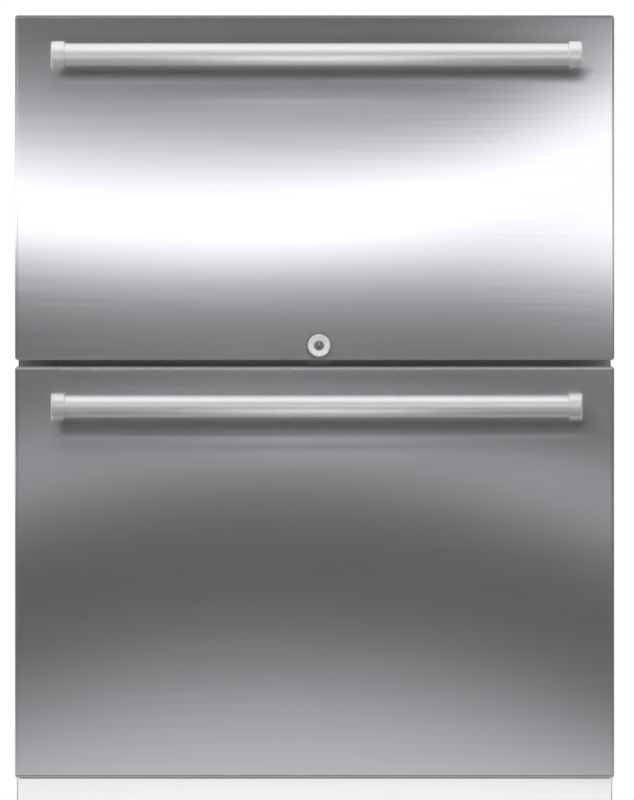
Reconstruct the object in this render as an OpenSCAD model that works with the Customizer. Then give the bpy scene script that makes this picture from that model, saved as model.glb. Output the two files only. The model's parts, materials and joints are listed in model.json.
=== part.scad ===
// Undercounter drawer refrigerator, 600 mm class, with two full-width drawers.
// +Z is up, the fronts face -Y, and the origin is the middle of the footprint on the floor.
// Sizes are millimetres.

/* [Whole appliance] */
// Width of the drawer fronts
front_w = 603; // [560:1:640]
// Height from the floor to the top of the counter brackets, feet screwed in
unit_h = 872; // [860:1:886]
// Depth from the face of the fronts to the back
unit_d = 610; // [604:1:640]
// How far the fronts stand out past the cabinet on each side
front_overhang = 3; // [1:0.5:6]

/* [Drawer fronts] */
// Height of the upper front
upper_front_h = 347; // [340:1:352]
// Gap between the two fronts
front_gap = 6; // [4:0.5:8]
// Height of the lower edge of the lower front above the floor
toe_space_h = 105; // [100:1:112]
// How far the upper front rises past the top of the cabinet
front_rise = 2; // [0.5:0.5:2]
// Depth of the folded stainless panel
panel_d = 19; // [16:0.5:22]
// Thickness of the stainless sheet
panel_sheet = 1.2; // [1:0.1:1.6]
// Radius of the folded edges of a front
panel_edge_r = 3; // [2:0.25:4]
// Thickness of the insulated door behind the panel
door_d = 26; // [24:0.5:30]
// How far the insulated door stands back from the panel's edges
door_inset = 3; // [2:0.5:4]
// How far the moulded plug of the door reaches into the cabinet
door_plug_d = 10; // [8:0.5:11]

/* [Gasket] */
// Gap between door and cabinet that the gasket fills
gasket_gap = 12; // [11:0.5:14]
// Width of the gasket
gasket_w = 14; // [12:0.5:15]
// Margin from the door's edge to the gasket
gasket_margin = 10; // [8:0.5:12]
// Rise of the upper gasket above the upper front's lower edge, past the lock
gasket_lock_rise = 30; // [29:0.5:32]

/* [Handles] */
// Diameter of the handle bar
bar_d = 24; // [20:0.5:26]
// Wall of the handle bar
bar_wall = 1.5; // [1:0.25:3]
// Length over both end brackets
handle_len = 533; // [500:1:540]
// Distance of the bar's axis from the face of the front
handle_standoff = 48; // [42:1:60]
// Distance of the bar's axis below the front's top edge
handle_drop = 41.2; // [38:0.1:46]
// How far the handle's middle lies right of the front's middle
handle_shift = 2; // [0:0.5:3]
// Diameter of an end bracket
cap_d = 28.6; // [27:0.2:32]
// Width of an end bracket
cap_w = 14; // [12:0.5:16]
// Radius of an end bracket's edges
cap_edge_r = 2.2; // [1:0.2:3]
// Depth of the socket that holds the bar's end
cap_socket = 5; // [3:0.5:8]
// Height of the bracket's stem
stem_h = 22; // [18:0.5:24]
// Radius of the handle screws
handle_screw_r = 3; // [2.5:0.25:3.5]

/* [Lock] */
// How far the lock lies right of the front's middle
lock_x = 4.5; // [0:0.5:8]
// Height of the lock above the upper front's lower edge
lock_rise = 14.8; // [14.5:0.1:16]
// Radius of the bright ring
lock_ring_r = 11.3; // [10:0.1:11.5]
// How far the ring stands proud of the front
lock_ring_t = 2; // [1.5:0.1:3]
// Radius of the lock's barrel
lock_barrel_r = 8; // [7:0.25:8.5]
// Radius of the key plug
lock_plug_r = 4.9; // [4:0.1:5.5]
// Reach of the cam from the plug's axis
cam_reach = 21; // [20:0.5:21.5]

/* [Cabinet walls] */
// Thickness of the outer sheet
shell_t = 1; // [0.8:0.1:1.5]
// Thickness of the insulation at the sides
foam_side = 40; // [36:1:42]
// Thickness of the insulation at the top
foam_top = 36; // [32:1:38]
// Thickness of the insulation at the bottom
foam_bottom = 42; // [38:1:44]
// Thickness of the insulation at the back
foam_back = 45; // [40:1:48]
// Thickness of the insulation over the machine space
foam_step = 36; // [32:1:38]
// Thickness of the moulded liner
liner_t = 2; // [1.5:0.1:2.5]
// Depth of the face frame
face_frame_d = 8; // [6:0.5:9]
// Depth of the machine space
machine_d = 200; // [196:1:206]
// Height of the machine space's ceiling
machine_h = 230; // [226:1:234]
// Depth of the rail between the drawers
mullion_d = 38; // [34:1:44]
// Sheet thickness of that rail
mullion_sheet = 1.5; // [1:0.1:2]

/* [Base] */
// Ground clearance with the feet screwed in
base_z = 22; // [20:0.5:26]
// Sheet thickness of the base
base_sheet = 1.5; // [1.2:0.1:2]
// Setback of the toe kick from the cabinet's front plane
kick_setback = 30; // [24:1:40]
// Sheet thickness of the toe kick
kick_sheet = 1.5; // [1:0.1:2]
// Clearance of the toe kick above the floor
kick_floor_gap = 6; // [4:0.5:10]
// Radius of a levelling foot's stem
foot_stem_r = 5; // [4:0.25:6]
// Radius of a levelling foot's pad
foot_pad_r = 17; // [15:0.5:20]

/* [Slides] */
// Gap between the slides and the evaporator's cover
slide_rear_gap = 12; // [8:1:16]
// Height of the cabinet member
slide_h = 46; // [42:1:48]
// Thickness of a whole slide
slide_t = 13; // [12.5:0.1:13.5]
// Sheet thickness of the members
slide_sheet = 1.4; // [1.2:0.1:1.5]
// Height of the upper slides' middle above the upper bin's floor
upper_slide_rise = 40; // [36:1:46]
// Height of the lower slides' middle above the lower bin's rear floor
lower_slide_rise = 63; // [58:1:70]

/* [Bins] */
// Wall of the bins
bin_wall = 2; // [1.5:0.1:2.5]
// Gap between the bins and the evaporator's cover
bin_rear_gap = 22; // [18:1:28]
// Gap between the lower bin and the liner's step, in front of it and above it
bin_step_gap = [17, 13]; // [12:1:24]
// Height of the upper bin's floor above the rail between the drawers
upper_bin_rise = 11; // [8:1:15]
// Gap between the upper bin's rim and the control housing
upper_rim_gap = 6; // [5:1:20]
// Height of the lower bin's floor above the liner
lower_bin_rise = 8; // [7:1:12]
// Gap between the lower bin's rim and the rail between the drawers
lower_rim_gap = 16; // [15:1:28]
// Corner radius of the bins
bin_corner_r = 18; // [12:1:24]

/* [Cooling parts] */
// Radius of the compressor
compressor_r = 74; // [66:1:76]
// Height of the compressor with its base plate
compressor_h = 146; // [130:1:150]
// Radius of the compressor's domed top
dome_r = 40; // [25:1:50]
// Half the width of the condenser
condenser_half = 72; // [60:1:74]
// Rows of pipe in the condenser
condenser_rows = 5; // [3:1:5]
// Radius of the condenser's fan
condenser_fan_r = 66; // [50:1:68]
// Rows of pipe in the evaporator
evaporator_rows = 9; // [5:1:11]
// Radius of the evaporator's fan
evaporator_fan_r = 46; // [38:1:50]
// Depth of the evaporator's cover
evaporator_d = 56; // [54:1:60]
// Radius of the pipes
pipe_r = 4; // [3:0.25:4.5]
// Distance between two rows of pipe
coil_pitch = 28; // [24:1:29]

/* [Controls and lights] */
// Width of the control housing
control_w = 260; // [240:2:300]
// Height of the control housing
control_h = 30; // [28:0.5:31]
// Depth of the control housing
control_d = 36; // [30:1:44]
// Radius of a push button
button_r = 4.5; // [4:0.25:5]
// Spacing of the push buttons
button_pitch = 20; // [17:0.5:22]
// Height of the light bars
light_h = 7; // [5:0.5:7.5]

/* [Hidden] */

$fn = 48;
cut = 1;            // how far a cutter runs past what it cuts
seam = 0.5;         // how far two parts of one solid run into each other
fit = 0.3;          // clearance between pieces that are slipped together
running = 0.08;     // radial clearance of a shaft in its bore
steel = "#b4b6ba";

// Small clearances and steps
bin_gap = 3;        // between a door's plug and the bin
slide_gap = 2;      // between a door's plug and the fixed slide member
plug_gap = 6;       // between a door's plug and the opening it closes
plug_side_gap = 7.5;
mullion_lap = 2;    // how far the rail between the drawers reaches past the gaskets
member_gap = 1.9;   // between two members of a slide
carrier_lift = 1.2; // between the fixed slide member and the ledge over it
bin_play = 1.5;     // between the bin and its carriers

// Depth stations, front to back
handle_proud = handle_standoff + cap_d / 2;
y_back = (unit_d + handle_proud) / 2;
y_face = y_back - unit_d;
y_panel = y_face + panel_d;
y_door = y_panel + door_d;
y_cabinet = y_door + gasket_gap;
y_kick = y_cabinet + kick_setback;
y_machine = y_back - machine_d;
y_plug = y_cabinet + door_plug_d;
y_bin = y_plug + bin_gap;

// Height stations, bottom to top
bracket_t = 2;
z_top = unit_h - bracket_t;
z_front_top = z_top + front_rise;
z_upper_bottom = z_front_top - upper_front_h;
z_lower_top = z_upper_bottom - front_gap;
z_bottom = toe_space_h;

// Inside of the cabinet
shell_x = front_w / 2 - front_overhang;
foam_x = shell_x - shell_t;
liner_x = foam_x - foam_side;
room_x = liner_x - liner_t;
room_top = z_top - shell_t - foam_top - liner_t;
room_floor = z_bottom + shell_t + foam_bottom + liner_t;
room_back = y_back - shell_t - foam_back - liner_t;
evaporator_y = room_back - evaporator_d;
step_floor = machine_h + shell_t + foam_step + liner_t;
step_y = y_machine - shell_t - foam_step - liner_t;
y_foam = y_cabinet + face_frame_d;

// Doors and gaskets
door_x = front_w / 2 - door_inset;
gasket_x = door_x - gasket_margin;
gasket_t = gasket_gap - fit;
upper_gasket_z = [z_upper_bottom + gasket_lock_rise, z_front_top - door_inset - gasket_margin];
lower_gasket_z = [z_bottom + door_inset + gasket_margin, z_lower_top - door_inset - gasket_margin];
mullion_z = [lower_gasket_z[1] - gasket_w - mullion_lap, upper_gasket_z[0] + gasket_w + mullion_lap];
plug_x = room_x - plug_side_gap;
upper_plug_z = [mullion_z[1] + plug_gap, room_top - plug_gap];
lower_plug_z = [room_floor + plug_gap, mullion_z[0] - plug_gap];

// Slides and drawer frames: distances are measured inwards from the liner's wall
slide_y = [y_plug + slide_gap, evaporator_y - slide_rear_gap];
middle_h = slide_h - 8;
rail_h = slide_h - 18;
carrier_t = 1.5;
carrier_x = room_x - slide_t;
ledge_lift = slide_h / 2 + carrier_lift;
ledge_x = room_x - 2.5;
bin_narrow_x = carrier_x - carrier_t - bin_play;
bin_wide_x = ledge_x - 3;
bin_rim_x = ledge_x - 0.5;
bin_d = evaporator_y - bin_rear_gap - y_bin;
bin_front_d = step_y - bin_step_gap[0] - y_bin;
upper_bin_z = mullion_z[1] + upper_bin_rise;
upper_rim_z = room_top - control_h - upper_rim_gap;
lower_bin_z = room_floor + lower_bin_rise;
lower_step_z = step_floor + bin_step_gap[1];
lower_rim_z = mullion_z[0] - lower_rim_gap;
upper_slide_z = upper_bin_z + upper_slide_rise;
lower_slide_z = lower_step_z + lower_slide_rise;
upper_shoulder_z = upper_slide_z + ledge_lift + carrier_t;
lower_shoulder_z = lower_slide_z + ledge_lift + carrier_t;

// Lock
lock_z = z_upper_bottom + lock_rise;
lock_nut_t = 3;
cam_t = 2.5;
lock_nut_r = 11;
lip_gap = 1.4;      // between the strike's lip and the lock's nut above it
cam_gap = 1;        // between the cam and the strike's lip
lip_t = 2;
lip_y = [y_door + lip_t, y_door + 2 * lip_t];
lip_top = lock_z - lock_nut_r - lip_gap;
lip_bottom = lock_z - cam_reach - 2 * cam_gap;
cam_y = lip_y[1] + cam_gap;

// Machine space and cooling parts
pipe_wall_gap = 33.5;   // from the liner's wall to the pipes that rise along it
compressor_gap = 18;    // from the compressor to the suction pipe
compressor_rear = 22;   // from the compressor to the back
condenser_side = 148.5; // from the cabinet's side to the condenser's middle
condenser_front = 42;   // from the front of the machine space to the condenser's middle
grommet_h = 12;
suction_x = room_x - pipe_wall_gap;
liquid_x = -suction_x;
compressor_at = [suction_x - compressor_gap - compressor_r, y_back - compressor_rear - compressor_r];
compressor_foot_z = base_z + base_sheet + grommet_h;
compressor_top = compressor_foot_z + compressor_h;
condenser_at = [condenser_side - shell_x, y_machine + condenser_front];
fan_lift = 22;          // from the base pan to the sweep of the condenser's fan
condenser_fan_z = base_z + fan_lift + condenser_fan_r;
shroud_gap = 8;         // from the condenser's fins to its shroud
condenser_fin = 16;     // half the depth of a fin
shroud_y = condenser_at[1] + condenser_fin + shroud_gap;
motor_shaft_r = 2.5;
evaporator_side = 18.5;
evaporator_w = 2 * (room_x - evaporator_side);
evaporator_floor_gap = 28;
evaporator_top_gap = 24;
evaporator_fan_lift = 32;
evaporator_z = [step_floor + evaporator_floor_gap, room_top - evaporator_top_gap];
evaporator_fan_z = evaporator_z[0] + evaporator_fan_lift + evaporator_fan_r;

// Feet
foot_inset = 42;        // from the cabinet's side to a foot's middle
foot_front_inset = 36;
foot_rear_inset = 34;
foot_y = [y_kick + foot_front_inset, y_back - foot_rear_inset];
foot_x = shell_x - foot_inset;
foot_bore_r = foot_stem_r + running;
nut_r = 9;
nut_h = 12;

// Screws
screw_r = 2;
screw_head_r = 4;
screw_head_t = 2.2;
screw_tail = 3;
handle_head_r = 6;
handle_head_t = 4;
handle_thread = 20;

// Base, toe kick and rear cover
flange_h = 18;
cover_t = 1;
cover_inset = 2.5;
kick_return = 24;
kick_edge_r = 2;
kick_top_gap = 0.5;
kick_slot_l = 40;
kick_slot_w = 5;
kick_slot_pitch = 1.25 * kick_slot_l;
kick_slot_rise = 2 * kick_slot_w;
kick_slot_cols = 4;
kick_slot_rows = 4;
kick_slot_x = 62;
kick_slot_z = base_z + flange_h + kick_slot_w;
kick_screw_side = 30;
kick_screws = [for (s = [-1, 0, 1]) [s * (shell_x - kick_screw_side), base_z + flange_h / 2]];
cover_slot_l = 60;
cover_slot_w = 5;
cover_slot_cols = 5;
cover_slot_rows = 6;
cover_slot_lift = 70;
cover_slot_z = base_z + cover_slot_lift;
cover_slot_pitch = 1.25 * cover_slot_l;
cover_slot_rise = 2.2 * cover_slot_w;
cover_screw_x = shell_x - flange_h / 2;
cover_screw_lift = 50;
cover_screw_drop = 16;
side_screws = [for (s = [-1, 1], z = [base_z + cover_screw_lift, machine_h - cover_screw_drop])
               [s * cover_screw_x, z]];
rear_screws = concat(side_screws, [[0, base_z + flange_h / 2]]);
gland_r = 7;
gland_bore_r = 4;
gland_side = 63.5;
gland_at = [gland_side - shell_x, base_z + 36];
gland_lip_t = 2.2;
gland_nut_t = 5;
bracket_side = 98.5;
bracket_x = shell_x - bracket_side;
bracket_w = 40;
bracket_l = 36;
bracket_reach = 9;
bracket_hole_r = 2.75;
bracket_hole_y = y_cabinet - bracket_reach / 2;

// Strike of the lock
strike_t = 1.5;
strike_half = 26;
strike_screw_x = 20;
strike_screw_z = lock_z - 6;
strike_top = 6;
lip_half = 12;

// Lock core
lock_ring_soft = 0.9;
lock_recess = 2.6;
cam_hub_r = 3.5;
cam_half = 5;
cam_rivet = 1.5;
keyway = [1.8, 7, 12];          // width, height and depth

// Pipes, coils and fans
pipe_bend_r = 3 * pipe_r;
coil_tail = 10;
pipe_tail = 2;
fin_t = 1;
fin_reach = 0.4 * coil_pitch;
coil_plate_t = 2;
coil_plate_in = 4;
fan_depth = 14;
hub_r = 14;
blade_n = 5;
blade_t = 1.4;
blade_pitch = 24;
condenser_fins = 19;
coil_lift = 20;
condenser_z0 = base_z + base_sheet + coil_lift;
coil_side_gap = 32;     // from the evaporator's fins to the rising pipes
evaporator_half = suction_x - coil_side_gap;
evaporator_fin = 16;
evaporator_fins = 25;
evaporator_wall = 2;
pipe_y = evaporator_y + evaporator_d / 2 - evaporator_wall;
evaporator_motor_y = pipe_y;
motor_foot = [34, 8];           // half width and depth
vent_l = 34;
vent_pitch = 46;
vent_w = 5;
vent_rise = 12;
grille_rise = 10;
grille_slot = 6;
evaporator_z0 = evaporator_fan_z + evaporator_fan_r + evaporator_fan_lift;
shroud_ring_d = 24;
shroud_t = 3;
fan_gap = 3;
motor_r = [26, 20];             // condenser's and evaporator's
motor_l = 28;
motor_arm = [2.5, 6];           // thickness and half height
stub_l = 5;
stub_r = pipe_r + 1.5;
suction_z = compressor_foot_z + 0.44 * compressor_h;
discharge_z = compressor_foot_z + 0.57 * compressor_h;
terminal_z = discharge_z - pipe_r;
mount_x = 70;
mount_y = 48;
mount_hole_r = 5;
grommet_r = 9;
grommet_bore_r = 4;
mount_plate_t = 3;
mount_margin = 11;
terminal_box = [22, 12, 24];    // half width, depth and half height
drain_r = 8;
drain_wall = 1.5;
drain_collar = 6;
pan_h = 40;
pan_wall = 2;
pan_gap = 12;
pan_x = [condenser_at[0] + condenser_half + coil_pitch / 2 + pipe_r + pan_gap,
         compressor_at[0] - compressor_r - pan_gap];
pan_front_gap = 30;
pan_rear_gap = 40;
pan_y = [y_machine + pan_front_gap, y_back - pan_rear_gap];
drain_at = [(pan_x[0] + pan_x[1]) / 2, pipe_y];

// Controls
y_control = y_plug + 4;
button_z = room_top - control_h / 2 - cut;
button_x = 84;
button_d = 5;
button_proud = 1.2;
window_x = -10;
window_w = 70;
window_h = 16;
window_t = 1.2;
light_half = 150;
light_d = 14;

// Feet
foot_pad_h = 9;
foot_hex_h = 6;
foot_hex_r = 10;
foot_top_z = base_z + base_sheet + nut_h + 36;

// Details of doors and bins
plug_corner_r = 12;
flange_w = 24;
divider_t = 2.4;
hook_gap = 0.4;
hook_t = 1.4;
hook_h = 7;
hook_half = 8;

// ---------- shapes used by many pieces ----------

// A block between two values on each axis
module block(x, y, z) {
    translate([x[0], y[0], z[0]]) cube([x[1] - x[0], y[1] - y[0], z[1] - z[0]]);
}

// A block as wide to the left as to the right
module wide_block(half, y, z) {
    block([-half, half], y, z);
}

// A YZ outline drawn out along X
module along_x(x, points) {
    translate([x[0], 0, 0]) rotate([90, 0, 90]) linear_extrude(x[1] - x[0]) polygon(points);
}

// A cylinder along Y, from y[0] to y[1]
module rod_y(r, y, x = 0, z = 0) {
    translate([x, y[1], z]) rotate([90, 0, 0]) cylinder(r = r, h = y[1] - y[0]);
}

// A cylinder along X, from x[0] to x[1]
module rod_x(r, x, y, z) {
    translate([x[0], y, z]) rotate([0, 90, 0]) cylinder(r = r, h = x[1] - x[0]);
}

// The same piece on the left and on the right
module both_sides() {
    children();
    mirror([1, 0, 0]) children();
}

// A rectangle with round corners
module round_rect(w, d, r) {
    square([w - 2 * r, d], center = true);
    square([w, d - 2 * r], center = true);
    for (sx = [-1, 1], sy = [-1, 1])
        translate([sx * (w / 2 - r), sy * (d / 2 - r)]) circle(r);
}

// A rectangle whose two corners on the left are round
module half_round_rect(w, h, r) {
    translate([r, 0]) square([w - r, h]);
    translate([0, r]) square([w, h - 2 * r]);
    for (y = [r, h - r]) translate([r, y]) circle(r);
}

// A block whose four front edges are round
module soft_front_block(half, y, z, r) {
    intersection() {
        translate([-half, y[0], z[0]]) rotate([90, 0, 90])
            linear_extrude(2 * half) half_round_rect(y[1] - y[0], z[1] - z[0], r);
        translate([-half, y[0], z[0]]) mirror([1, -1, 0])
            linear_extrude(z[1] - z[0]) half_round_rect(y[1] - y[0], 2 * half, r);
    }
}

// A rectangular ring standing in the XZ plane
module upright_ring(half, z, w, y) {
    difference() {
        wide_block(half, y, z);
        wide_block(half - w, [y[0] - cut, y[1] + cut], [z[0] + w, z[1] - w]);
    }
}

// A slot with round ends, lying along X and cut through along Y
module slot_y(len, w, y, x, z) {
    translate([x, y[1], z]) rotate([90, 0, 0]) linear_extrude(y[1] - y[0]) {
        square([len - w, w], center = true);
        for (s = [-1, 1]) translate([s * (len - w) / 2, 0]) circle(w / 2, $fn = 24);
    }
}

// A pan-head screw along +Y, its head's inner face at y
module screw_y(x, y, z, shank) {
    rod_y(screw_head_r, [y - screw_head_t, y], x, z);
    rod_y(screw_r, [y, y + shank], x, z);
}

// A straight pipe between two points on one axis
module pipe_run(a, b, r) {
    d = (b - a) / norm(b - a);
    u = [d[1], d[2], d[0]];
    v = cross(d, u);
    multmatrix([[u[0], v[0], d[0], a[0]], [u[1], v[1], d[1], a[1]], [u[2], v[2], d[2], a[2]]])
        cylinder(r = r, h = norm(b - a));
}

// A quarter bend at corner p, arriving along d_in and leaving along d_out
module pipe_bend(p, d_in, d_out, bend, r) {
    c = p - d_in * bend + d_out * bend;
    n = cross(-d_out, d_in);
    multmatrix([[-d_out[0], d_in[0], n[0], c[0]], [-d_out[1], d_in[1], n[1], c[1]],
                [-d_out[2], d_in[2], n[2], c[2]]])
        rotate_extrude(angle = 90) translate([bend, 0]) circle(r, $fn = 24);
}

function heading(a, b) = (b - a) / norm(b - a);

// A bent pipe through a list of points whose runs are square to each other
module pipe(points, bend, r) {
    last = len(points) - 1;
    for (i = [0:last - 1]) {
        d = heading(points[i], points[i + 1]);
        from = i == 0 ? 0 : bend;
        to = i == last - 1 ? 0 : bend;
        pipe_run(points[i] + d * from, points[i + 1] - d * to, r);
    }
    for (i = [1:last - 1])
        pipe_bend(points[i], heading(points[i - 1], points[i]),
                  heading(points[i], points[i + 1]), bend, r);
}

// ---------- cabinet ----------

// The cabinet's side view, drawn in by a wall on each face, with a step over the machine space
function side_outline(front, bottom, step, top, back) = [
    [front, z_bottom + bottom], [y_machine - step, z_bottom + bottom],
    [y_machine - step, machine_h + step], [y_back - back, machine_h + step],
    [y_back - back, z_top - top], [front, z_top - top],
];

module shell_space(front) {
    along_x([-foam_x, foam_x], side_outline(front, shell_t, shell_t, shell_t, shell_t));
}

module liner_space(front) {
    t = shell_t;
    along_x([-liner_x, liner_x],
            side_outline(front, t + foam_bottom, t + foam_step, t + foam_top, t + foam_back));
}

module room_space(front) {
    t = shell_t + liner_t;
    along_x([-room_x, room_x],
            side_outline(front, t + foam_bottom, t + foam_step, t + foam_top, t + foam_back));
}

// Where pipes and the drain pass through the step into the machine space
module step_passages() {
    for (x = [suction_x, liquid_x])
        translate([x, pipe_y, machine_h - cut])
            cylinder(r = pipe_r + fit, h = step_floor - machine_h + 2 * cut);
    translate([drain_at[0], drain_at[1], machine_h - cut])
        cylinder(r = drain_r + fit, h = step_floor - machine_h + 2 * cut);
}

module outer_shell() {
    color("#2c2d30") difference() {
        along_x([-shell_x, shell_x], side_outline(y_cabinet, 0, 0, 0, 0));
        shell_space(y_cabinet - cut);
        step_passages();
    }
}

module insulation() {
    color("#e8dfb8") difference() {
        shell_space(y_foam);
        liner_space(y_foam - cut);
        step_passages();
    }
}

module inner_liner() {
    color("#e9ebec") difference() {
        liner_space(y_foam);
        room_space(y_foam - cut);
        step_passages();
    }
}

module face_frame() {
    color(steel) difference() {
        shell_space(y_cabinet);
        shell_space(y_foam);
        room_space(y_cabinet - cut);
    }
}

// ---------- rail between the drawers ----------

module strike_screw_holes(y) {
    for (s = [-1, 1]) rod_y(screw_r, y, lock_x + s * strike_screw_x, strike_screw_z);
}

module center_mullion() {
    t = mullion_sheet;
    color(steel) difference() {
        wide_block(room_x, [y_cabinet, y_cabinet + mullion_d], mullion_z);
        wide_block(room_x + cut, [y_cabinet + t, y_cabinet + mullion_d - t],
                   [mullion_z[0] + t, mullion_z[1] - t]);
        strike_screw_holes([y_cabinet - cut, y_cabinet + t + cut]);
    }
}

module lock_strike() {
    plate_x = [lock_x - strike_half, lock_x + strike_half];
    lip_x = [lock_x - lip_half, lock_x + lip_half];
    color(steel) difference() {
        union() {
            block(plate_x, [y_cabinet - strike_t, y_cabinet],
                  [lip_bottom - strike_t, strike_screw_z + strike_top]);
            block(lip_x, [lip_y[0], y_cabinet], [lip_bottom - strike_t, lip_bottom]);
            block(lip_x, lip_y, [lip_bottom - strike_t, lip_top]);
        }
        strike_screw_holes([y_cabinet - strike_t - cut, y_cabinet + cut]);
    }
}

// ---------- base ----------

module base_frame() {
    t = base_sheet;
    y_front = y_kick + kick_sheet;
    y_cover = y_back - cover_inset - cover_t;
    color("#9a9da1") difference() {
        union() {
            wide_block(shell_x, [y_front, y_cover], [base_z, base_z + t]);
            wide_block(shell_x, [y_front, y_front + t], [base_z, base_z + flange_h]);
            wide_block(shell_x, [y_cover - t, y_cover], [base_z, base_z + flange_h]);
            both_sides() {
                along_x([shell_x - t, shell_x], [
                    [y_front, base_z], [y_back, base_z], [y_back, machine_h],
                    [y_machine, machine_h], [y_machine, z_bottom], [y_front, z_bottom]]);
                block([shell_x - flange_h, shell_x], [y_front, y_machine], [z_bottom - t, z_bottom]);
                block([shell_x - flange_h, shell_x], [y_cover - t, y_cover], [base_z, machine_h]);
                for (y = foot_y)
                    translate([foot_x, y, base_z]) cylinder(r = nut_r, h = t + nut_h);
            }
        }
        for (s = [-1, 1], y = foot_y)
            translate([s * foot_x, y, base_z - cut]) cylinder(r = foot_bore_r, h = t + nut_h + 2 * cut);
        for (p = rear_screws)
            rod_y(screw_r, [y_cover - t - cut, y_cover + cut], p[0], p[1]);
        for (p = kick_screws)
            rod_y(screw_r, [y_front - cut, y_front + t + cut], p[0], p[1]);
    }
}

module toe_kick() {
    y = [y_kick, y_kick + kick_return];
    z = [kick_floor_gap, z_bottom - kick_top_gap];
    color("#d9dadd") difference() {
        soft_front_block(front_w / 2, y, z, kick_edge_r);
        wide_block(front_w / 2 - kick_sheet, [y_kick + kick_sheet, y[1] + cut], [z[0] - cut, z[1] + cut]);
        for (side = [-1, 1], col = [0:kick_slot_cols - 1], row = [0:kick_slot_rows - 1])
            slot_y(kick_slot_l, kick_slot_w, [y_kick - cut, y_kick + kick_sheet + cut],
                   side * (kick_slot_x + col * kick_slot_pitch), kick_slot_z + row * kick_slot_rise);
        for (p = kick_screws)
            rod_y(screw_r, [y_kick - cut, y_kick + kick_sheet + cut], p[0], p[1]);
    }
}

module rear_cover() {
    y = [y_back - cover_inset - cover_t, y_back - cover_inset];
    color("#9a9da1") difference() {
        wide_block(shell_x - base_sheet - fit, y, [base_z + fit, machine_h - fit]);
        for (col = [0:cover_slot_cols - 1], row = [0:cover_slot_rows - 1])
            slot_y(cover_slot_l, cover_slot_w, [y[0] - cut, y[1] + cut],
                   (col - (cover_slot_cols - 1) / 2) * cover_slot_pitch, cover_slot_z + row * cover_slot_rise);
        for (p = rear_screws) rod_y(screw_r, [y[0] - cut, y[1] + cut], p[0], p[1]);
        rod_y(gland_r, [y[0] - cut, y[1] + cut], gland_at[0], gland_at[1]);
    }
}

module casing_screws() {
    color("#c9cbce") {
        for (p = kick_screws)
            screw_y(p[0], y_kick, p[1], kick_sheet + base_sheet + screw_tail);
        for (p = rear_screws)
            mirror([0, 1, 0]) screw_y(p[0], -(y_back - cover_inset), p[1], cover_t + base_sheet + screw_tail);
        for (s = [-1, 1])
            screw_y(lock_x + s * strike_screw_x, y_cabinet - strike_t, strike_screw_z,
                    strike_t + mullion_sheet + screw_tail);
    }
}

// Brackets that screw the cabinet to the underside of a worktop
module counter_brackets() {
    color(steel) for (s = [-1, 1])
        translate([s * bracket_x, 0, z_top]) difference() {
            translate([-bracket_w / 2, y_cabinet - bracket_reach, 0]) cube([bracket_w, bracket_l, bracket_t]);
            translate([0, bracket_hole_y, -cut]) cylinder(r = bracket_hole_r, h = bracket_t + 2 * cut);
        }
}

module cord_gland() {
    x = gland_at[0];
    z = gland_at[1];
    outside = y_back - cover_inset;
    color("#1d1e20") difference() {
        union() {
            rod_y(gland_r, [outside - cover_t, outside], x, z);
            rod_y(gland_r + 1.5 * gland_lip_t, [outside, outside + gland_lip_t], x, z);
            rod_y(gland_r + gland_lip_t, [outside - cover_t - gland_nut_t, outside - cover_t], x, z);
        }
        rod_y(gland_bore_r, [outside - cover_t - gland_nut_t - cut, outside + gland_lip_t + cut], x, z);
    }
}

// ---------- cooling ----------

// A half-turn of pipe at (x, y) between two tubes, bulging to +X or -X
module return_bend(x, y, z, pitch, side) {
    translate([x, y, z]) rotate([90, 0, 0]) rotate([0, 0, side > 0 ? -90 : 90])
        rotate_extrude(angle = 180) translate([pitch / 2, 0]) circle(pipe_r, $fn = 24);
}

// Tubes along X joined in a zigzag, with fins across them; the first ends left and the last right
module finned_coil(x, y, half, z0, rows, fin_half, fin_n, plate) {
    last = rows - 1;
    for (i = [0:last]) {
        left = x - half - (i == 0 ? coil_tail : 0);
        right = x + half + (i == last ? coil_tail : 0);
        rod_x(pipe_r, [left, right], y, z0 + i * coil_pitch);
    }
    for (i = [0:last - 1]) {
        side = i % 2 == 0 ? 1 : -1;
        return_bend(x + side * half, y, z0 + (i + 0.5) * coil_pitch, coil_pitch, side);
    }
    for (i = [1:fin_n - 2]) {
        fx = x - half + 2 * half * i / (fin_n - 1);
        block([fx - fin_t / 2, fx + fin_t / 2], [y - fin_half, y + fin_half],
              [z0 - fin_reach, z0 + last * coil_pitch + fin_reach]);
    }
    for (s = [-1, 1]) {
        px = x + s * (half - coil_plate_in);
        block([px - coil_plate_t / 2, px + coil_plate_t / 2], plate[0], plate[1]);
    }
}

module compressor() {
    x = compressor_at[0];
    y = compressor_at[1];
    r = compressor_r;
    h = compressor_top - compressor_foot_z - mount_plate_t;
    color("#1f2022") {
        difference() {
            translate([x, y, compressor_foot_z]) linear_extrude(mount_plate_t)
                round_rect(2 * (mount_x + mount_margin), 2 * (mount_y + mount_margin), 10);
            for (sx = [-1, 1], sy = [-1, 1])
                translate([x + sx * mount_x, y + sy * mount_y, compressor_foot_z - cut])
                    cylinder(r = mount_hole_r, h = mount_plate_t + 2 * cut);
        }
        translate([x, y, compressor_foot_z + mount_plate_t]) rotate_extrude($fn = 96) {
            square([r - dome_r, h]);
            square([r, h - dome_r]);
            translate([r - dome_r, h - dome_r]) intersection() {
                circle(dome_r);
                square(dome_r);
            }
        }
        rod_x(stub_r, [x, x + r + stub_l], pipe_y, suction_z);
        rod_x(stub_r, [x - r - stub_l, x], y, discharge_z);
        block([x - terminal_box[0], x + terminal_box[0]], [y, y + r + terminal_box[1]],
              [terminal_z - terminal_box[2], terminal_z + terminal_box[2]]);
    }
}

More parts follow.
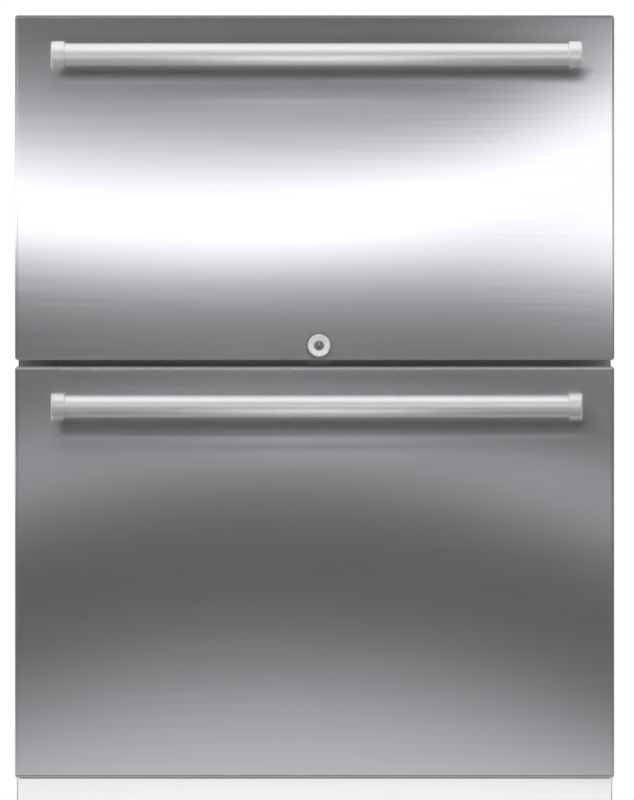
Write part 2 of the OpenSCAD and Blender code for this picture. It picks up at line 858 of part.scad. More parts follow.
module compressor_grommets() {
    z = [base_z + base_sheet, compressor_foot_z];
    color("#26272a") for (sx = [-1, 1], sy = [-1, 1])
        translate([compressor_at[0] + sx * mount_x, compressor_at[1] + sy * mount_y, z[0]]) difference() {
            cylinder(r = grommet_r, h = z[1] - z[0]);
            translate([0, 0, -cut]) cylinder(r = grommet_bore_r, h = z[1] - z[0] + 2 * cut);
        }
}

module condenser_coil() {
    floor_z = base_z + base_sheet;
    color("#b07246") finned_coil(condenser_at[0], condenser_at[1], condenser_half, condenser_z0,
        condenser_rows, condenser_fin, condenser_fins,
        [[condenser_at[1] - condenser_fin, condenser_at[1] + condenser_fin],
         [floor_z, condenser_z0 + (condenser_rows - 0.5) * coil_pitch]]);
}

module condenser_shroud() {
    x = condenser_at[0];
    z = condenser_fan_z;
    floor_z = base_z + base_sheet;
    color("#26272a") difference() {
        union() {
            block([x - condenser_half - coil_plate_in, x + condenser_half + coil_plate_in],
                  [shroud_y, shroud_y + shroud_t], [floor_z, z + condenser_fan_r + shroud_gap]);
            rod_y(condenser_fan_r + fan_gap + shroud_t, [shroud_y, shroud_y + shroud_ring_d], x, z);
        }
        rod_y(condenser_fan_r + fan_gap, [shroud_y - cut, shroud_y + shroud_ring_d + cut], x, z);
    }
}

module condenser_fan_motor() {
    y = shroud_y + shroud_ring_d;
    color("#3a3c40") {
        x = condenser_at[0];
        arm = condenser_fan_r + fan_gap + shroud_t;
        rod_y(motor_r[0], [y, y + motor_l], x, condenser_fan_z);
        rod_y(motor_shaft_r, [y - fan_depth - fan_gap - 1, y + 1], x, condenser_fan_z);
        block([x - arm, x + arm], [y, y + motor_arm[0]],
              [condenser_fan_z - motor_arm[1], condenser_fan_z + motor_arm[1]]);
    }
}

// A fan whose hub's front is at y, on a shaft along Y
module fan(x, y, z, r) {
    blade_w = r * 0.48;
    difference() {
        union() {
            rod_y(hub_r, [y, y + fan_depth], x, z);
            for (i = [0:blade_n - 1])
                translate([x, y + fan_depth / 2, z]) rotate([0, i * 360 / blade_n, 0])
                    translate([hub_r - blade_t, 0, 0]) rotate([blade_pitch, 0, 0])
                        translate([0, -blade_t / 2, -blade_w / 2]) cube([r - hub_r, blade_t, blade_w]);
        }
        rod_y(motor_shaft_r + running, [y - cut, y + fan_depth + cut], x, z);
    }
}

module condenser_fan() {
    y = shroud_y + shroud_ring_d - fan_depth - fan_gap;
    color("#4a4d52") fan(condenser_at[0], y, condenser_fan_z, condenser_fan_r);
}

module drain_pan() {
    z = [base_z + base_sheet, base_z + base_sheet + pan_h];
    w = pan_wall;
    color("#d7d9da") difference() {
        block(pan_x, pan_y, z);
        block([pan_x[0] + w, pan_x[1] - w], [pan_y[0] + w, pan_y[1] - w], [z[0] + w, z[1] + cut]);
    }
}

module drain_tube() {
    z = [base_z + base_sheet + pan_wall + drain_collar, step_floor];
    w = drain_wall;
    color("#c9cbcc") translate([drain_at[0], drain_at[1], 0]) difference() {
        union() {
            translate([0, 0, z[0]]) cylinder(r = drain_r, h = z[1] - z[0]);
            translate([0, 0, z[1]]) cylinder(r = drain_r + drain_collar, h = w);
        }
        translate([0, 0, z[0] - cut]) cylinder(r = drain_r - w, h = z[1] - z[0] + w + 2 * cut);
    }
}

module refrigerant_lines() {
    tail_r = condenser_at[0] + condenser_half + coil_tail;
    tail_l = condenser_at[0] - condenser_half - coil_tail;
    z_in = condenser_z0 + (condenser_rows - 1) * coil_pitch;
    suction_stub = compressor_at[0] + compressor_r + stub_l;
    stub_x = compressor_at[0] - compressor_r - stub_l;
    riser_x = stub_x - 2 * pipe_bend_r - pipe_tail;
    loop_x = liquid_x - 2 * pipe_bend_r - pipe_tail;
    loop_z = machine_h - 2 * pipe_bend_r;
    coil_r = evaporator_half + coil_tail;
    z_evap = evaporator_z0 + (evaporator_rows - 1) * coil_pitch;
    color("#b5734a") {
        pipe([[stub_x, compressor_at[1], discharge_z], [riser_x, compressor_at[1], discharge_z],
              [riser_x, compressor_at[1], z_in], [riser_x, condenser_at[1], z_in],
              [tail_r, condenser_at[1], z_in]], pipe_bend_r, pipe_r);
        pipe([[suction_stub, pipe_y, suction_z], [suction_x, pipe_y, suction_z],
              [suction_x, pipe_y, z_evap], [coil_r, pipe_y, z_evap]], pipe_bend_r, pipe_r);
        pipe([[tail_l, condenser_at[1], condenser_z0], [loop_x, condenser_at[1], condenser_z0],
              [loop_x, condenser_at[1], loop_z], [loop_x, pipe_y, loop_z],
              [liquid_x, pipe_y, loop_z], [liquid_x, pipe_y, evaporator_z0],
              [-coil_r, pipe_y, evaporator_z0]], pipe_bend_r, pipe_r);
    }
}

module evaporator_coil() {
    color("#c3c7ca") finned_coil(0, pipe_y, evaporator_half, evaporator_z0, evaporator_rows,
        evaporator_fin, evaporator_fins,
        [[pipe_y - evaporator_fin, room_back],
         [evaporator_z0 - coil_pitch / 2, evaporator_z0 + (evaporator_rows - 0.5) * coil_pitch]]);
}

module evaporator_cover() {
    half = evaporator_w / 2;
    z = evaporator_z;
    w = evaporator_wall;
    through = [evaporator_y - cut, evaporator_y + w + cut];
    color("#e3e5e6") difference() {
        wide_block(half, [evaporator_y, room_back], z);
        wide_block(half - w, [evaporator_y + w, room_back + cut], [z[0] + w, z[1] - w]);
        for (s = [-1, 1], col = [0:3], row = [0:2])
            slot_y(vent_l, vent_w, through, s * (col + 0.75) * vent_pitch, z[1] - (row + 2) * vent_rise);
        for (k = [-4:4])
            slot_y(2 * sqrt(pow(evaporator_fan_r, 2) - pow(k * grille_rise, 2)), grille_slot, through,
                   0, evaporator_fan_z + k * grille_rise);
        for (x = [suction_x, liquid_x])
            translate([x, pipe_y, z[0] - cut]) cylinder(r = pipe_r + fit, h = w + 2 * cut);
    }
}

module evaporator_fan_motor() {
    y = evaporator_motor_y;
    foot = room_back - motor_foot[1];
    color("#3a3c40") {
        rod_y(motor_r[1], [y, foot], 0, evaporator_fan_z);
        rod_y(motor_shaft_r, [y - fan_depth - fan_gap - 1, y + 1], 0, evaporator_fan_z);
        wide_block(motor_foot[0], [foot, room_back],
                   [evaporator_fan_z - motor_foot[1], evaporator_fan_z + motor_foot[1]]);
    }
}

module evaporator_fan() {
    color("#4a4d52") fan(0, evaporator_motor_y - fan_gap - fan_depth, evaporator_fan_z, evaporator_fan_r);
}

// ---------- controls and lights ----------

module window_block(y) {
    block([window_x - window_w / 2, window_x + window_w / 2], y,
          [button_z - window_h / 2, button_z + window_h / 2]);
}

module control_housing() {
    y = y_control;
    z = [room_top - control_h, room_top];
    color("#3b3d41") difference() {
        along_x([-control_w / 2, control_w / 2], [
            [y, z[0]], [y, z[1]], [y + control_d, z[1]], [y + control_d, z[1] - control_h / 3],
            [y + control_d / 3, z[0]]]);
        window_block([y - cut, y + window_t]);
        for (i = [-1:1])
            rod_y(button_r + fit, [y - cut, y + button_d + 4], button_x + i * button_pitch, button_z);
    }
}

module display_window() {
    color("#101418") window_block([y_control, y_control + window_t]);
}

module push_button(i) {
    color("#c6c8ca")
        rod_y(button_r, [y_control - button_proud, y_control + button_d],
              button_x + i * button_pitch, button_z);
}

module button_power() {
    push_button(-1);
}

module button_colder() {
    push_button(0);
}

module button_warmer() {
    push_button(1);
}

module light_bars() {
    color("#fafaf4") {
        for (p = [[y_control + control_d + 8, room_top], [y_cabinet + mullion_d - light_d, mullion_z[0]]])
            wide_block(light_half, [p[0], p[0] + light_d], [p[1] - light_h, p[1]]);
    }
}

// ---------- feet ----------

module levelling_foot(sx, y) {
    color("#2b2c2e") translate([sx * foot_x, y, 0]) {
        cylinder(r = foot_pad_r, h = foot_pad_h);
        translate([0, 0, foot_pad_h]) cylinder(r = foot_hex_r, h = foot_hex_h, $fn = 6);
        cylinder(r = foot_stem_r, h = foot_top_z);
    }
}

module foot_front_left() {
    levelling_foot(-1, foot_y[0]);
}

module foot_front_right() {
    levelling_foot(1, foot_y[0]);
}

module foot_rear_left() {
    levelling_foot(-1, foot_y[1]);
}

module foot_rear_right() {
    levelling_foot(1, foot_y[1]);
}

// ---------- slides: three nested members a side ----------

// A channel open towards +X or -X: web from x[0] to x[1], flanges to x_tip
module channel(x, x_tip, y, z, h) {
    t = slide_sheet;
    span = [min(x[0], x_tip), max(x[1], x_tip)];
    block(x, y, [z - h / 2, z + h / 2]);
    block(span, y, [z + h / 2 - t, z + h / 2]);
    block(span, y, [z - h / 2, z - h / 2 + t]);
}

module slide_channels(z) {
    color("#b9bcc0") both_sides()
        channel([room_x - slide_sheet, room_x], carrier_x + slide_sheet + member_gap, slide_y, z, slide_h);
}

module slide_middles(z) {
    x = room_x - slide_sheet - member_gap;
    color("#a9acb0") both_sides()
        channel([x - slide_sheet, x], carrier_x + slide_sheet + member_gap, slide_y, z, middle_h);
}

module upper_slide_channels() {
    slide_channels(upper_slide_z);
}

module upper_slide_middles() {
    slide_middles(upper_slide_z);
}

module lower_slide_channels() {
    slide_channels(lower_slide_z);
}

module lower_slide_middles() {
    slide_middles(lower_slide_z);
}

// The drawer's own slide member, the carrier that the bin hangs on, and its flange on the door
module drawer_frame(z) {
    x = carrier_x;
    t = carrier_t;
    top = z + ledge_lift + t;
    tip = room_x - 2 * slide_sheet - 2 * member_gap;
    color("#b9bcc0") both_sides() {
        channel([x, x + slide_sheet], tip, [y_plug, slide_y[1]], z, rail_h);
        block([x - t, x], [y_plug, slide_y[1]], [z - rail_h / 2, top]);
        block([x - t, ledge_x], [y_plug, slide_y[1]], [top - t, top]);
        block([x - flange_w, x], [y_plug, y_plug + t], [z - middle_h / 2, top]);
    }
}

module upper_drawer_frame() {
    drawer_frame(upper_slide_z);
}

module lower_drawer_frame() {
    drawer_frame(lower_slide_z);
}

// ---------- drawer fronts ----------

module front_panel(z) {
    h = panel_sheet;
    soft = max(panel_edge_r - h, 0.5);
    difference() {
        soft_front_block(front_w / 2, [y_face, y_panel], z, panel_edge_r);
        soft_front_block(front_w / 2 - h, [y_face + h, y_panel + cut], [z[0] + h, z[1] - h], soft);
        for (s = [-1, 1])
            rod_y(handle_screw_r + 0.1, [y_face - cut, y_face + h + cut], post_x(s), z[1] - handle_drop);
    }
}

module door_body(z, plug) {
    h = panel_sheet;
    head = y_face + h + handle_head_t;
    difference() {
        union() {
            soft_front_block(front_w / 2 - h, [y_face + h, y_panel], [z[0] + h, z[1] - h], panel_edge_r);
            wide_block(door_x, [y_panel, y_door], [z[0] + door_inset, z[1] - door_inset]);
            translate([0, y_plug, (plug[0] + plug[1]) / 2]) rotate([90, 0, 0])
                linear_extrude(y_plug - y_door) round_rect(2 * plug_x, plug[1] - plug[0], plug_corner_r);
        }
        for (s = [-1, 1])
            rod_y(handle_head_r + fit, [y_face, head], post_x(s), z[1] - handle_drop);
    }
}

module gasket(z) {
    color("#8d9094") upright_ring(gasket_x, z, gasket_w, [y_door, y_door + gasket_t]);
}

// Middle of a handle's end bracket
function post_x(s) = handle_shift + s * (handle_len - cap_w) / 2;

module handle_bar(z) {
    half = handle_len / 2 - cap_w + cap_socket;
    y = y_face - handle_standoff;
    x = [handle_shift - half, handle_shift + half];
    color(steel) difference() {
        rod_x(bar_d / 2, x, y, z);
        rod_x(bar_d / 2 - bar_wall, [x[0] - cut, x[1] + cut], y, z);
    }
}

module handle_post(z, s) {
    x = post_x(s);
    y = y_face - handle_standoff;
    r = cap_d / 2;
    inner = x - s * cap_w / 2;
    socket = s > 0 ? [inner - cut, inner + cap_socket] : [inner - cap_socket, inner + cut];
    difference() {
        union() {
            translate([x, y, z]) rotate([0, 90, 0]) translate([0, 0, -cap_w / 2]) rotate_extrude($fn = 96) {
                square([r - cap_edge_r, cap_w]);
                translate([0, cap_edge_r]) square([r, cap_w - 2 * cap_edge_r]);
                for (e = [cap_edge_r, cap_w - cap_edge_r])
                    translate([r - cap_edge_r, e]) circle(cap_edge_r);
            }
            translate([x, y_face, z]) rotate([90, 0, 0])
                linear_extrude(handle_standoff) round_rect(cap_w - 2, stem_h, 3);
        }
        rod_x(bar_d / 2 + 0.1, socket, y, z);
        rod_y(handle_screw_r + 0.1, [y_face - handle_thread, y_face + cut], x, z);
    }
}

module handle_posts(z) {
    color("#c2c4c8") for (s = [-1, 1]) handle_post(z, s);
}

module handle_screws(z) {
    head = y_face + panel_sheet;
    color("#8e9094") for (s = [-1, 1]) {
        rod_y(handle_screw_r, [y_face - handle_thread + 2, head + 1], post_x(s), z);
        rod_y(handle_head_r, [head, head + handle_head_t], post_x(s), z);
    }
}

// ---------- upper drawer ----------

module upper_front_panel() {
    color(steel) difference() {
        front_panel([z_upper_bottom, z_front_top]);
        rod_y(lock_barrel_r + fit, [y_face - cut, y_panel], lock_x, lock_z);
    }
}

module upper_door_body() {
    color("#d8dadb") difference() {
        door_body([z_upper_bottom, z_front_top], upper_plug_z);
        rod_y(lock_barrel_r + fit, [y_face, y_door + cut], lock_x, lock_z);
    }
}

module upper_gasket() {
    gasket(upper_gasket_z);
}

module upper_handle_bar() {
    handle_bar(z_front_top - handle_drop);
}

module upper_handle_posts() {
    handle_posts(z_front_top - handle_drop);
}

module upper_handle_screws() {
    handle_screws(z_front_top - handle_drop);
}

// The space inside a bin, or its outside: narrow between the slides, wide above them
module bin_form(half_low, half_high, d, z, shoulder) {
    r = bin_corner_r;
    y = y_bin + bin_d / 2;
    translate([0, y, z[0]]) linear_extrude(shoulder - z[0] + seam) round_rect(2 * half_low, d, r);
    translate([0, y, shoulder]) linear_extrude(z[1] - shoulder) round_rect(2 * half_high, d, r);
}

module upper_bin() {
    w = bin_wall;
    color("#eceeef") difference() {
        union() {
            bin_form(bin_narrow_x, bin_wide_x, bin_d, [upper_bin_z, upper_rim_z], upper_shoulder_z);
            translate([0, y_bin + bin_d / 2, upper_rim_z - w]) linear_extrude(w)
                round_rect(2 * bin_rim_x, bin_d, bin_corner_r);
        }
        bin_form(bin_narrow_x - w, bin_wide_x - w, bin_d - 2 * w,
                 [upper_bin_z + w, upper_rim_z + cut], upper_shoulder_z + w);
    }
}

module bin_divider() {
    y = [y_bin + bin_wall + 2 * fit, y_bin + bin_d - bin_wall - 2 * fit];
    hook = [y_bin - hook_gap - hook_t, y_bin + bin_d + hook_gap + hook_t];
    top = upper_rim_z + hook_gap + hook_t;
    color("#dfe4e6") {
        wide_block(divider_t / 2, y, [upper_bin_z + bin_wall + hook_gap, top]);
        wide_block(hook_half, hook, [top - hook_t, top]);
        wide_block(hook_half, [hook[0], hook[0] + hook_t], [upper_rim_z - hook_h, top]);
        wide_block(hook_half, [hook[1] - hook_t, hook[1]], [upper_rim_z - hook_h, top]);
    }
}

module lock_housing() {
    nut = [y_door, y_door + lock_nut_t];
    color("#d0d2d6") difference() {
        union() {
            translate([lock_x, y_face, lock_z]) rotate([90, 0, 0]) rotate_extrude($fn = 96) {
                square([lock_ring_r, lock_ring_t - lock_ring_soft]);
                square([lock_ring_r - lock_ring_soft, lock_ring_t]);
                translate([lock_ring_r - lock_ring_soft, lock_ring_t - lock_ring_soft]) circle(lock_ring_soft);
            }
            rod_y(lock_barrel_r, [y_face - seam, nut[1]], lock_x, lock_z);
            translate([lock_x, nut[1], lock_z]) rotate([90, 0, 0])
                cylinder(r = lock_nut_r, h = lock_nut_t, $fn = 6);
        }
        rod_y(lock_plug_r + running, [y_face - lock_ring_t - cut, nut[1] + cut], lock_x, lock_z);
    }
}

module lock_plug() {
    front = y_face - lock_ring_t + lock_recess;
    color("#5d6064") difference() {
        union() {
            rod_y(lock_plug_r, [front, cam_y], lock_x, lock_z);
            rod_y(cam_hub_r, [cam_y - seam, cam_y + cam_t + cam_rivet], lock_x, lock_z);
        }
        block([lock_x - keyway[0] / 2, lock_x + keyway[0] / 2], [front - cut, front + keyway[2]],
              [lock_z - keyway[1] / 2, lock_z + keyway[1] / 2]);
    }
}

// The cam points to the right when unlocked, and down behind the strike's lip when locked
module lock_cam() {
    color("#b9bcc0") difference() {
        translate([lock_x, cam_y + cam_t, lock_z]) rotate([90, 0, 0]) linear_extrude(cam_t) {
            circle(cam_half);
            translate([0, -cam_half]) square([cam_reach - cam_half, 2 * cam_half]);
            translate([cam_reach - cam_half, 0]) circle(cam_half);
        }
        rod_y(cam_hub_r, [cam_y - cut, cam_y + cam_t + cut], lock_x, lock_z);
    }
}

// ---------- lower drawer ----------

module lower_front_panel() {
    color(steel) front_panel([z_bottom, z_lower_top]);
}

module lower_door_body() {
    color("#d8dadb") door_body([z_bottom, z_lower_top], lower_plug_z);
}

module lower_gasket() {
    gasket(lower_gasket_z);
}

module lower_handle_bar() {
    handle_bar(z_lower_top - handle_drop);
}

module lower_handle_posts() {
    handle_posts(z_lower_top - handle_drop);
}

module lower_handle_screws() {
    handle_screws(z_lower_top - handle_drop);
}

// The lower bin is deep in front and shallow over the machine space
module lower_bin_deep(inset, z) {
    d = bin_front_d - 2 * inset;
    translate([0, y_bin + bin_front_d / 2, z[0]]) linear_extrude(z[1] - z[0])
        round_rect(2 * (bin_narrow_x - inset), d, bin_corner_r);
}

module lower_bin() {
    w = bin_wall;
    color("#eceeef") difference() {
        union() {
            bin_form(bin_narrow_x, bin_wide_x, bin_d, [lower_step_z, lower_rim_z], lower_shoulder_z);
            lower_bin_deep(0, [lower_bin_z, lower_step_z + w]);
            translate([0, y_bin + bin_d / 2, lower_rim_z - w]) linear_extrude(w)
                round_rect(2 * bin_rim_x, bin_d, bin_corner_r);
        }
        bin_form(bin_narrow_x - w, bin_wide_x - w, bin_d - 2 * w,
                 [lower_step_z + w, lower_rim_z + cut], lower_shoulder_z + w);
        lower_bin_deep(w, [lower_bin_z + w, lower_step_z + 2 * w]);
    }
}

// ---------- what is drawn ----------

outer_shell();
insulation();
inner_liner();
face_frame();
center_mullion();
lock_strike();
base_frame();
toe_kick();
rear_cover();
casing_screws();
counter_brackets();
cord_gland();
compressor();
compressor_grommets();
condenser_coil();
condenser_shroud();
condenser_fan_motor();
condenser_fan();
drain_pan();
drain_tube();
refrigerant_lines();
evaporator_coil();
evaporator_cover();
evaporator_fan_motor();
evaporator_fan();
control_housing();
display_window();
button_power();
button_colder();
button_warmer();
light_bars();
foot_front_left();
foot_front_right();
foot_rear_left();
foot_rear_right();
upper_slide_channels();
upper_slide_middles();
lower_slide_channels();
lower_slide_middles();
upper_front_panel();
upper_door_body();
upper_gasket();
upper_handle_bar();
upper_handle_posts();
upper_handle_screws();
upper_drawer_frame();
upper_bin();
bin_divider();
lock_housing();
lock_plug();
lock_cam();
lower_front_panel();
lower_door_body();
lower_gasket();
lower_handle_bar();
lower_handle_posts();
lower_handle_screws();
lower_drawer_frame();
lower_bin();
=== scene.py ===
# %% [markdown]
# # An undercounter drawer refrigerator
#
# The real object is a steel cabinet, 600 mm wide, that slides under a worktop. Two drawers close
# its whole front with skins of brushed stainless steel, each with a round bar handle, and a small
# key lock sits under the upper one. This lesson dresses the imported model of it: the solids stay
# where they are, the pieces that are seen most are modelled again with softer edges, and every
# surface gets a finish that is worked out from numbers.

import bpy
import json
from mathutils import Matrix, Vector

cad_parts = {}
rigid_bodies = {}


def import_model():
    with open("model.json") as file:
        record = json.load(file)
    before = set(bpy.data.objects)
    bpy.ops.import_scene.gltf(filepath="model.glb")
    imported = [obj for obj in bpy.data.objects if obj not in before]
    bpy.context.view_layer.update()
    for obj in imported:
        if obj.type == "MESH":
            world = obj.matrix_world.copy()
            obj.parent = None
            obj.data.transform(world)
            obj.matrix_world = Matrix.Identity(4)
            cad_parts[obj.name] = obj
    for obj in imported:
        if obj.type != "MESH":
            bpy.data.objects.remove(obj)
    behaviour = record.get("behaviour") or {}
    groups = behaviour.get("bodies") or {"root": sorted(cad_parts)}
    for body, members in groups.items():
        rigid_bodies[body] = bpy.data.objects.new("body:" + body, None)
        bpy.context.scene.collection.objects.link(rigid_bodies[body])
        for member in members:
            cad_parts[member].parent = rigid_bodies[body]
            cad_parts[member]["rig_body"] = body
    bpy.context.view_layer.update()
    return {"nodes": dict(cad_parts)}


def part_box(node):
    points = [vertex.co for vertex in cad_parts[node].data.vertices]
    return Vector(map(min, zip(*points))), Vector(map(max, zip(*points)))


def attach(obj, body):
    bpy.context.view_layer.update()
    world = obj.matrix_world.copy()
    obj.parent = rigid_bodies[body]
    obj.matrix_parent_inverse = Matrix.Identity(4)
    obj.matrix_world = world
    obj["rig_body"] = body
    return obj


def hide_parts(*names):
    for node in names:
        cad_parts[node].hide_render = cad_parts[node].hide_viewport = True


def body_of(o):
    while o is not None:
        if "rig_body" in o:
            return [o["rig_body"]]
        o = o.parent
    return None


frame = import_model()

# %% Tools for the whole lesson
import json
import math

import bmesh
import bpy
from mathutils import Vector

MM = 0.001
# How far something that stands along Z is turned to lie along each axis.
TURNS = {"X": (0, math.pi / 2, 0), "Y": (math.pi / 2, 0, 0), "Z": (0, 0, 0)}
scene = bpy.context.scene
scene.view_settings.view_transform = "Standard"
nodes = frame["nodes"]


def clear():
    """Leaves edit mode and deselects everything, because an operator acts on all that is selected."""
    if bpy.context.object and bpy.context.object.mode == "EDIT":
        bpy.ops.object.mode_set(mode="OBJECT")
    bpy.ops.object.select_all(action="DESELECT")


clear()

# %% [markdown]
# ## The camera
#
# The photograph looks straight at the fronts, and no side of the cabinet shows, so it was taken
# from far away with a long lens. The camera stands 20 m off, level with the middle of the picture.
# The lens follows from how much of the front's plane the picture shows from top to bottom.

# %% Camera
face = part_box("upper_front_panel")[0].y
CAMERA_AWAY, SENSOR, SHOWN_HIGH = 20.0, 36.0, 0.8046
AIM_X, AIM_Z = 2.4 * MM, 485 * MM
clear()
bpy.ops.object.camera_add(location=(AIM_X, face - CAMERA_AWAY, AIM_Z), rotation=TURNS["Y"])
camera = bpy.context.object
camera.data.sensor_width = SENSOR
camera.data.lens = SENSOR * CAMERA_AWAY / SHOWN_HIGH
camera.data.clip_end = 100
scene.camera = camera
print("lens", round(camera.data.lens), "mm")

# %% [markdown]
# ## Shader sums as plain expressions
#
# A finish is a small calculation: where is this point, how strong is the scratch there, how dark
# does that make it. Wired by hand, each plus sign is a node. `Wire` wraps one socket, so that
# `scratch * 0.2 + 1` adds its Math nodes by itself, and `Paint.add` puts in any other node.

# %% Wire and Paint
class Wire:
    """One output socket that can be used in a sum, as a number can."""

    def __init__(self, paint, socket):
        self.paint, self.socket = paint, socket

    def maths(self, operation, *others):
        return self.paint.add("ShaderNodeMath", {"operation": operation}, dict(enumerate((self, *others))))

    def __add__(self, other):
        return self.maths("ADD", other)

    def __sub__(self, other):
        return self.maths("SUBTRACT", other)

    def __mul__(self, other):
        return self.maths("MULTIPLY", other)

    def __truediv__(self, other):
        return self.maths("DIVIDE", other)

    def __pow__(self, other):
        return self.maths("POWER", other)

    __radd__, __rmul__ = __add__, __mul__


class Paint:
    """A node tree, with a method that adds any node, and short ones for the nodes used most."""

    def __init__(self, tree):
        self.tree = tree
        tree.nodes.clear()

    def add(self, kind, settings=None, sockets=None, out=0):
        node = self.tree.nodes.new(kind)
        for name, value in (settings or {}).items():
            setattr(node, name, value)
        for name, value in (sockets or {}).items():
            if isinstance(value, Wire):
                self.tree.links.new(value.socket, node.inputs[name])
            else:
                node.inputs[name].default_value = value
        return Wire(self, node.outputs[out]) if node.outputs else None

    def seen_by(self, *kinds):
        """1 for rays of any of these kinds, and 0 for the others."""
        path = self.tree.nodes.new("ShaderNodeLightPath")
        first, *more = [Wire(self, path.outputs[f"Is {kind} Ray"]) for kind in kinds]
        for other in more:
            first = first.maths("MAXIMUM", other)
        return first

    def place(self, stretch=(1, 1, 1)):
        """Object coordinates, which are metres here, stretched so that 1 is the size of the pattern."""
        here = self.add("ShaderNodeTexCoord", out="Object")
        return self.add("ShaderNodeMapping", None, {"Vector": here, "Scale": stretch})

    def along(self, axis):
        """How far a point is along one axis, for a finish that changes on the way."""
        here = self.add("ShaderNodeTexCoord", out="Object")
        return self.add("ShaderNodeSeparateXYZ", None, {0: here}, out=axis)

    def noise(self, stretch, detail):
        """Cloudy noise from 0 to 1. stretch is how many spots there are in a metre, along each axis."""
        return self.add("ShaderNodeTexNoise", None,
                        {"Vector": self.place(stretch), "Scale": 1.0, "Detail": detail})

    def cells(self, stretch, feature="F1", out="Distance"):
        return self.add("ShaderNodeTexVoronoi", {"feature": feature},
                        {"Vector": self.place(stretch), "Scale": 1.0}, out=out)

    def remap(self, wire, low, high, to_low=0.0, to_high=1.0):
        return self.add("ShaderNodeMapRange", None, {"Value": wire, "From Min": low, "From Max": high,
                                                     "To Min": to_low, "To Max": to_high})

    def tint(self, share, colour, first, second):
        """The colour times the first number where the share is 0, and times the second where it is 1."""
        ends = [(*(min(part * factor, 1) for part in colour), 1) for factor in (first, second)]
        return self.add("ShaderNodeMix", {"data_type": "RGBA"}, {0: share, 6: ends[0], 7: ends[1]}, out=2)

    def bump(self, height, strength, depth):
        return self.add("ShaderNodeBump", None, {"Height": height, "Strength": strength, "Distance": depth})


print("shader sums are ready")

# %% [markdown]
# ## The light
#
# In the photograph the steel shows what stands in front of it: a bright band across the upper
# drawer, a dark one across the lower, both bent a little. So a large card stands before the
# object that only reflections see, and it glows in those bands. The rest is a plain studio: a
# white world, a soft lamp at the upper left, which throws the shadow of the handles down to the
# right, and a weaker lamp overhead.

# %% World and lamp
world = bpy.data.worlds.new("studio")
scene.world = world
world.use_nodes = True
sky = Paint(world.node_tree)
white = sky.seen_by("Camera", "Glossy", "Transmission")
WORLD_LIGHT = 0.36
glow = sky.add("ShaderNodeBackground", None, {"Color": (1, 1, 1, 1),
                                              "Strength": WORLD_LIGHT + (1 - WORLD_LIGHT) * white})
sky.add("ShaderNodeOutputWorld", None, {"Surface": glow})


def soft_lamp(name, at, aim, size, share):
    """A round lamp that gives a surface at the aim, facing it, that share of the light of a white room."""
    clear()
    bpy.ops.object.light_add(type="AREA", location=at)
    lamp = bpy.context.object
    lamp.name = name
    reach = Vector(aim) - Vector(at)
    lamp.rotation_euler = reach.to_track_quat("-Z", "Y").to_euler()
    lamp.data.shape, lamp.data.size = "DISK", size
    lamp.data.energy = share * math.pi ** 2 * reach.length_squared
    lamp.visible_glossy = False
    print(name, "has", round(lamp.data.energy, 1), "W")


soft_lamp("key_lamp", (-0.42, face - 1.30, 1.36), (0, face, 0.80), size=0.62, share=0.62)
soft_lamp("top_lamp", (0.1, -0.45, 2.9), (0, 0, 0.87), size=1.6, share=0.32)

# %% Floor
# It takes light and shadow near the object, and turns into plain white further away.
FLOOR_SIZE, SHADED_TO, WHITE_FROM, NEAR_WHITE = 13, 0.6, 2.4, 0.45


def stage_finish(name):
    """A new material, and the paint for its nodes."""
    material = bpy.data.materials.new(name)
    material.use_nodes = True
    return material, Paint(material.node_tree)


clear()
bpy.ops.mesh.primitive_plane_add(size=FLOOR_SIZE, location=(0, 0, 0))
floor = bpy.context.object
floor.name = "floor"
pale, paint = stage_finish("pale floor")
away = paint.add("ShaderNodeVectorMath", {"operation": "LENGTH"}, {0: paint.place()}, out="Value")
lit = paint.add("ShaderNodeBsdfDiffuse", None, {"Color": (0.84, 0.84, 0.845, 1)})
glow = paint.add("ShaderNodeEmission", None, {"Color": (1, 1, 1, 1), "Strength": 1.0})
share = paint.seen_by("Camera", "Glossy") * paint.remap(away, SHADED_TO, WHITE_FROM, NEAR_WHITE, 1.0)
floor_mix = paint.add("ShaderNodeMixShader", None, {0: share, 1: lit, 2: glow})
paint.add("ShaderNodeOutputMaterial", None, {"Surface": floor_mix})
floor.data.materials.append(pale)

# %% [markdown]
# The card glows by a short formula of where a point is on it. Each band is a soft hill along a line
# that leans and bends. The numbers are metres, so a band on the card is at the height where the
# steel mirrors it. The card ends just above the floor, and what mirrors the space below it is
# white: that is the pale toe kick. Two more stand at the sides and carry the same bands round the
# folded edges; the right one is dimmer. The last lies on the floor before the object and is dark,
# as the underside of the handle bars shows.

# %% Cards that only reflections see
CARD_AWAY, CARD_HALF, CARD_FOOT, CARD_TOP = 0.80, 1.7, 0.090, 3.2
SIDE_AWAY, SIDE_PAST, SIDE_TOP, EDGE_X = 0.95, 0.3, 1.0, 0.3
FLOOR_CARD_HALF, FLOOR_CARD_AWAY, FLOOR_CARD_UP = 0.9, 0.75, 4 * MM


def card(name, low, high):
    """A flat card between two opposite corners, for reflections only. Its paint comes back, to glow."""
    clear()
    bpy.ops.mesh.primitive_plane_add(size=1)
    sheet = bpy.context.object
    sheet.name = name
    wide, tall = [axis for axis in range(3) if low[axis] != high[axis]]
    for number, vertex in enumerate(sheet.data.vertices):
        place = list(low)
        place[wide], place[tall] = (low, high)[number % 2][wide], (low, high)[number // 2][tall]
        vertex.co = place
    sheet.visible_camera = sheet.visible_diffuse = sheet.visible_shadow = sheet.visible_transmission = False
    material, paint = stage_finish(name)
    sheet.data.materials.append(material)
    return paint


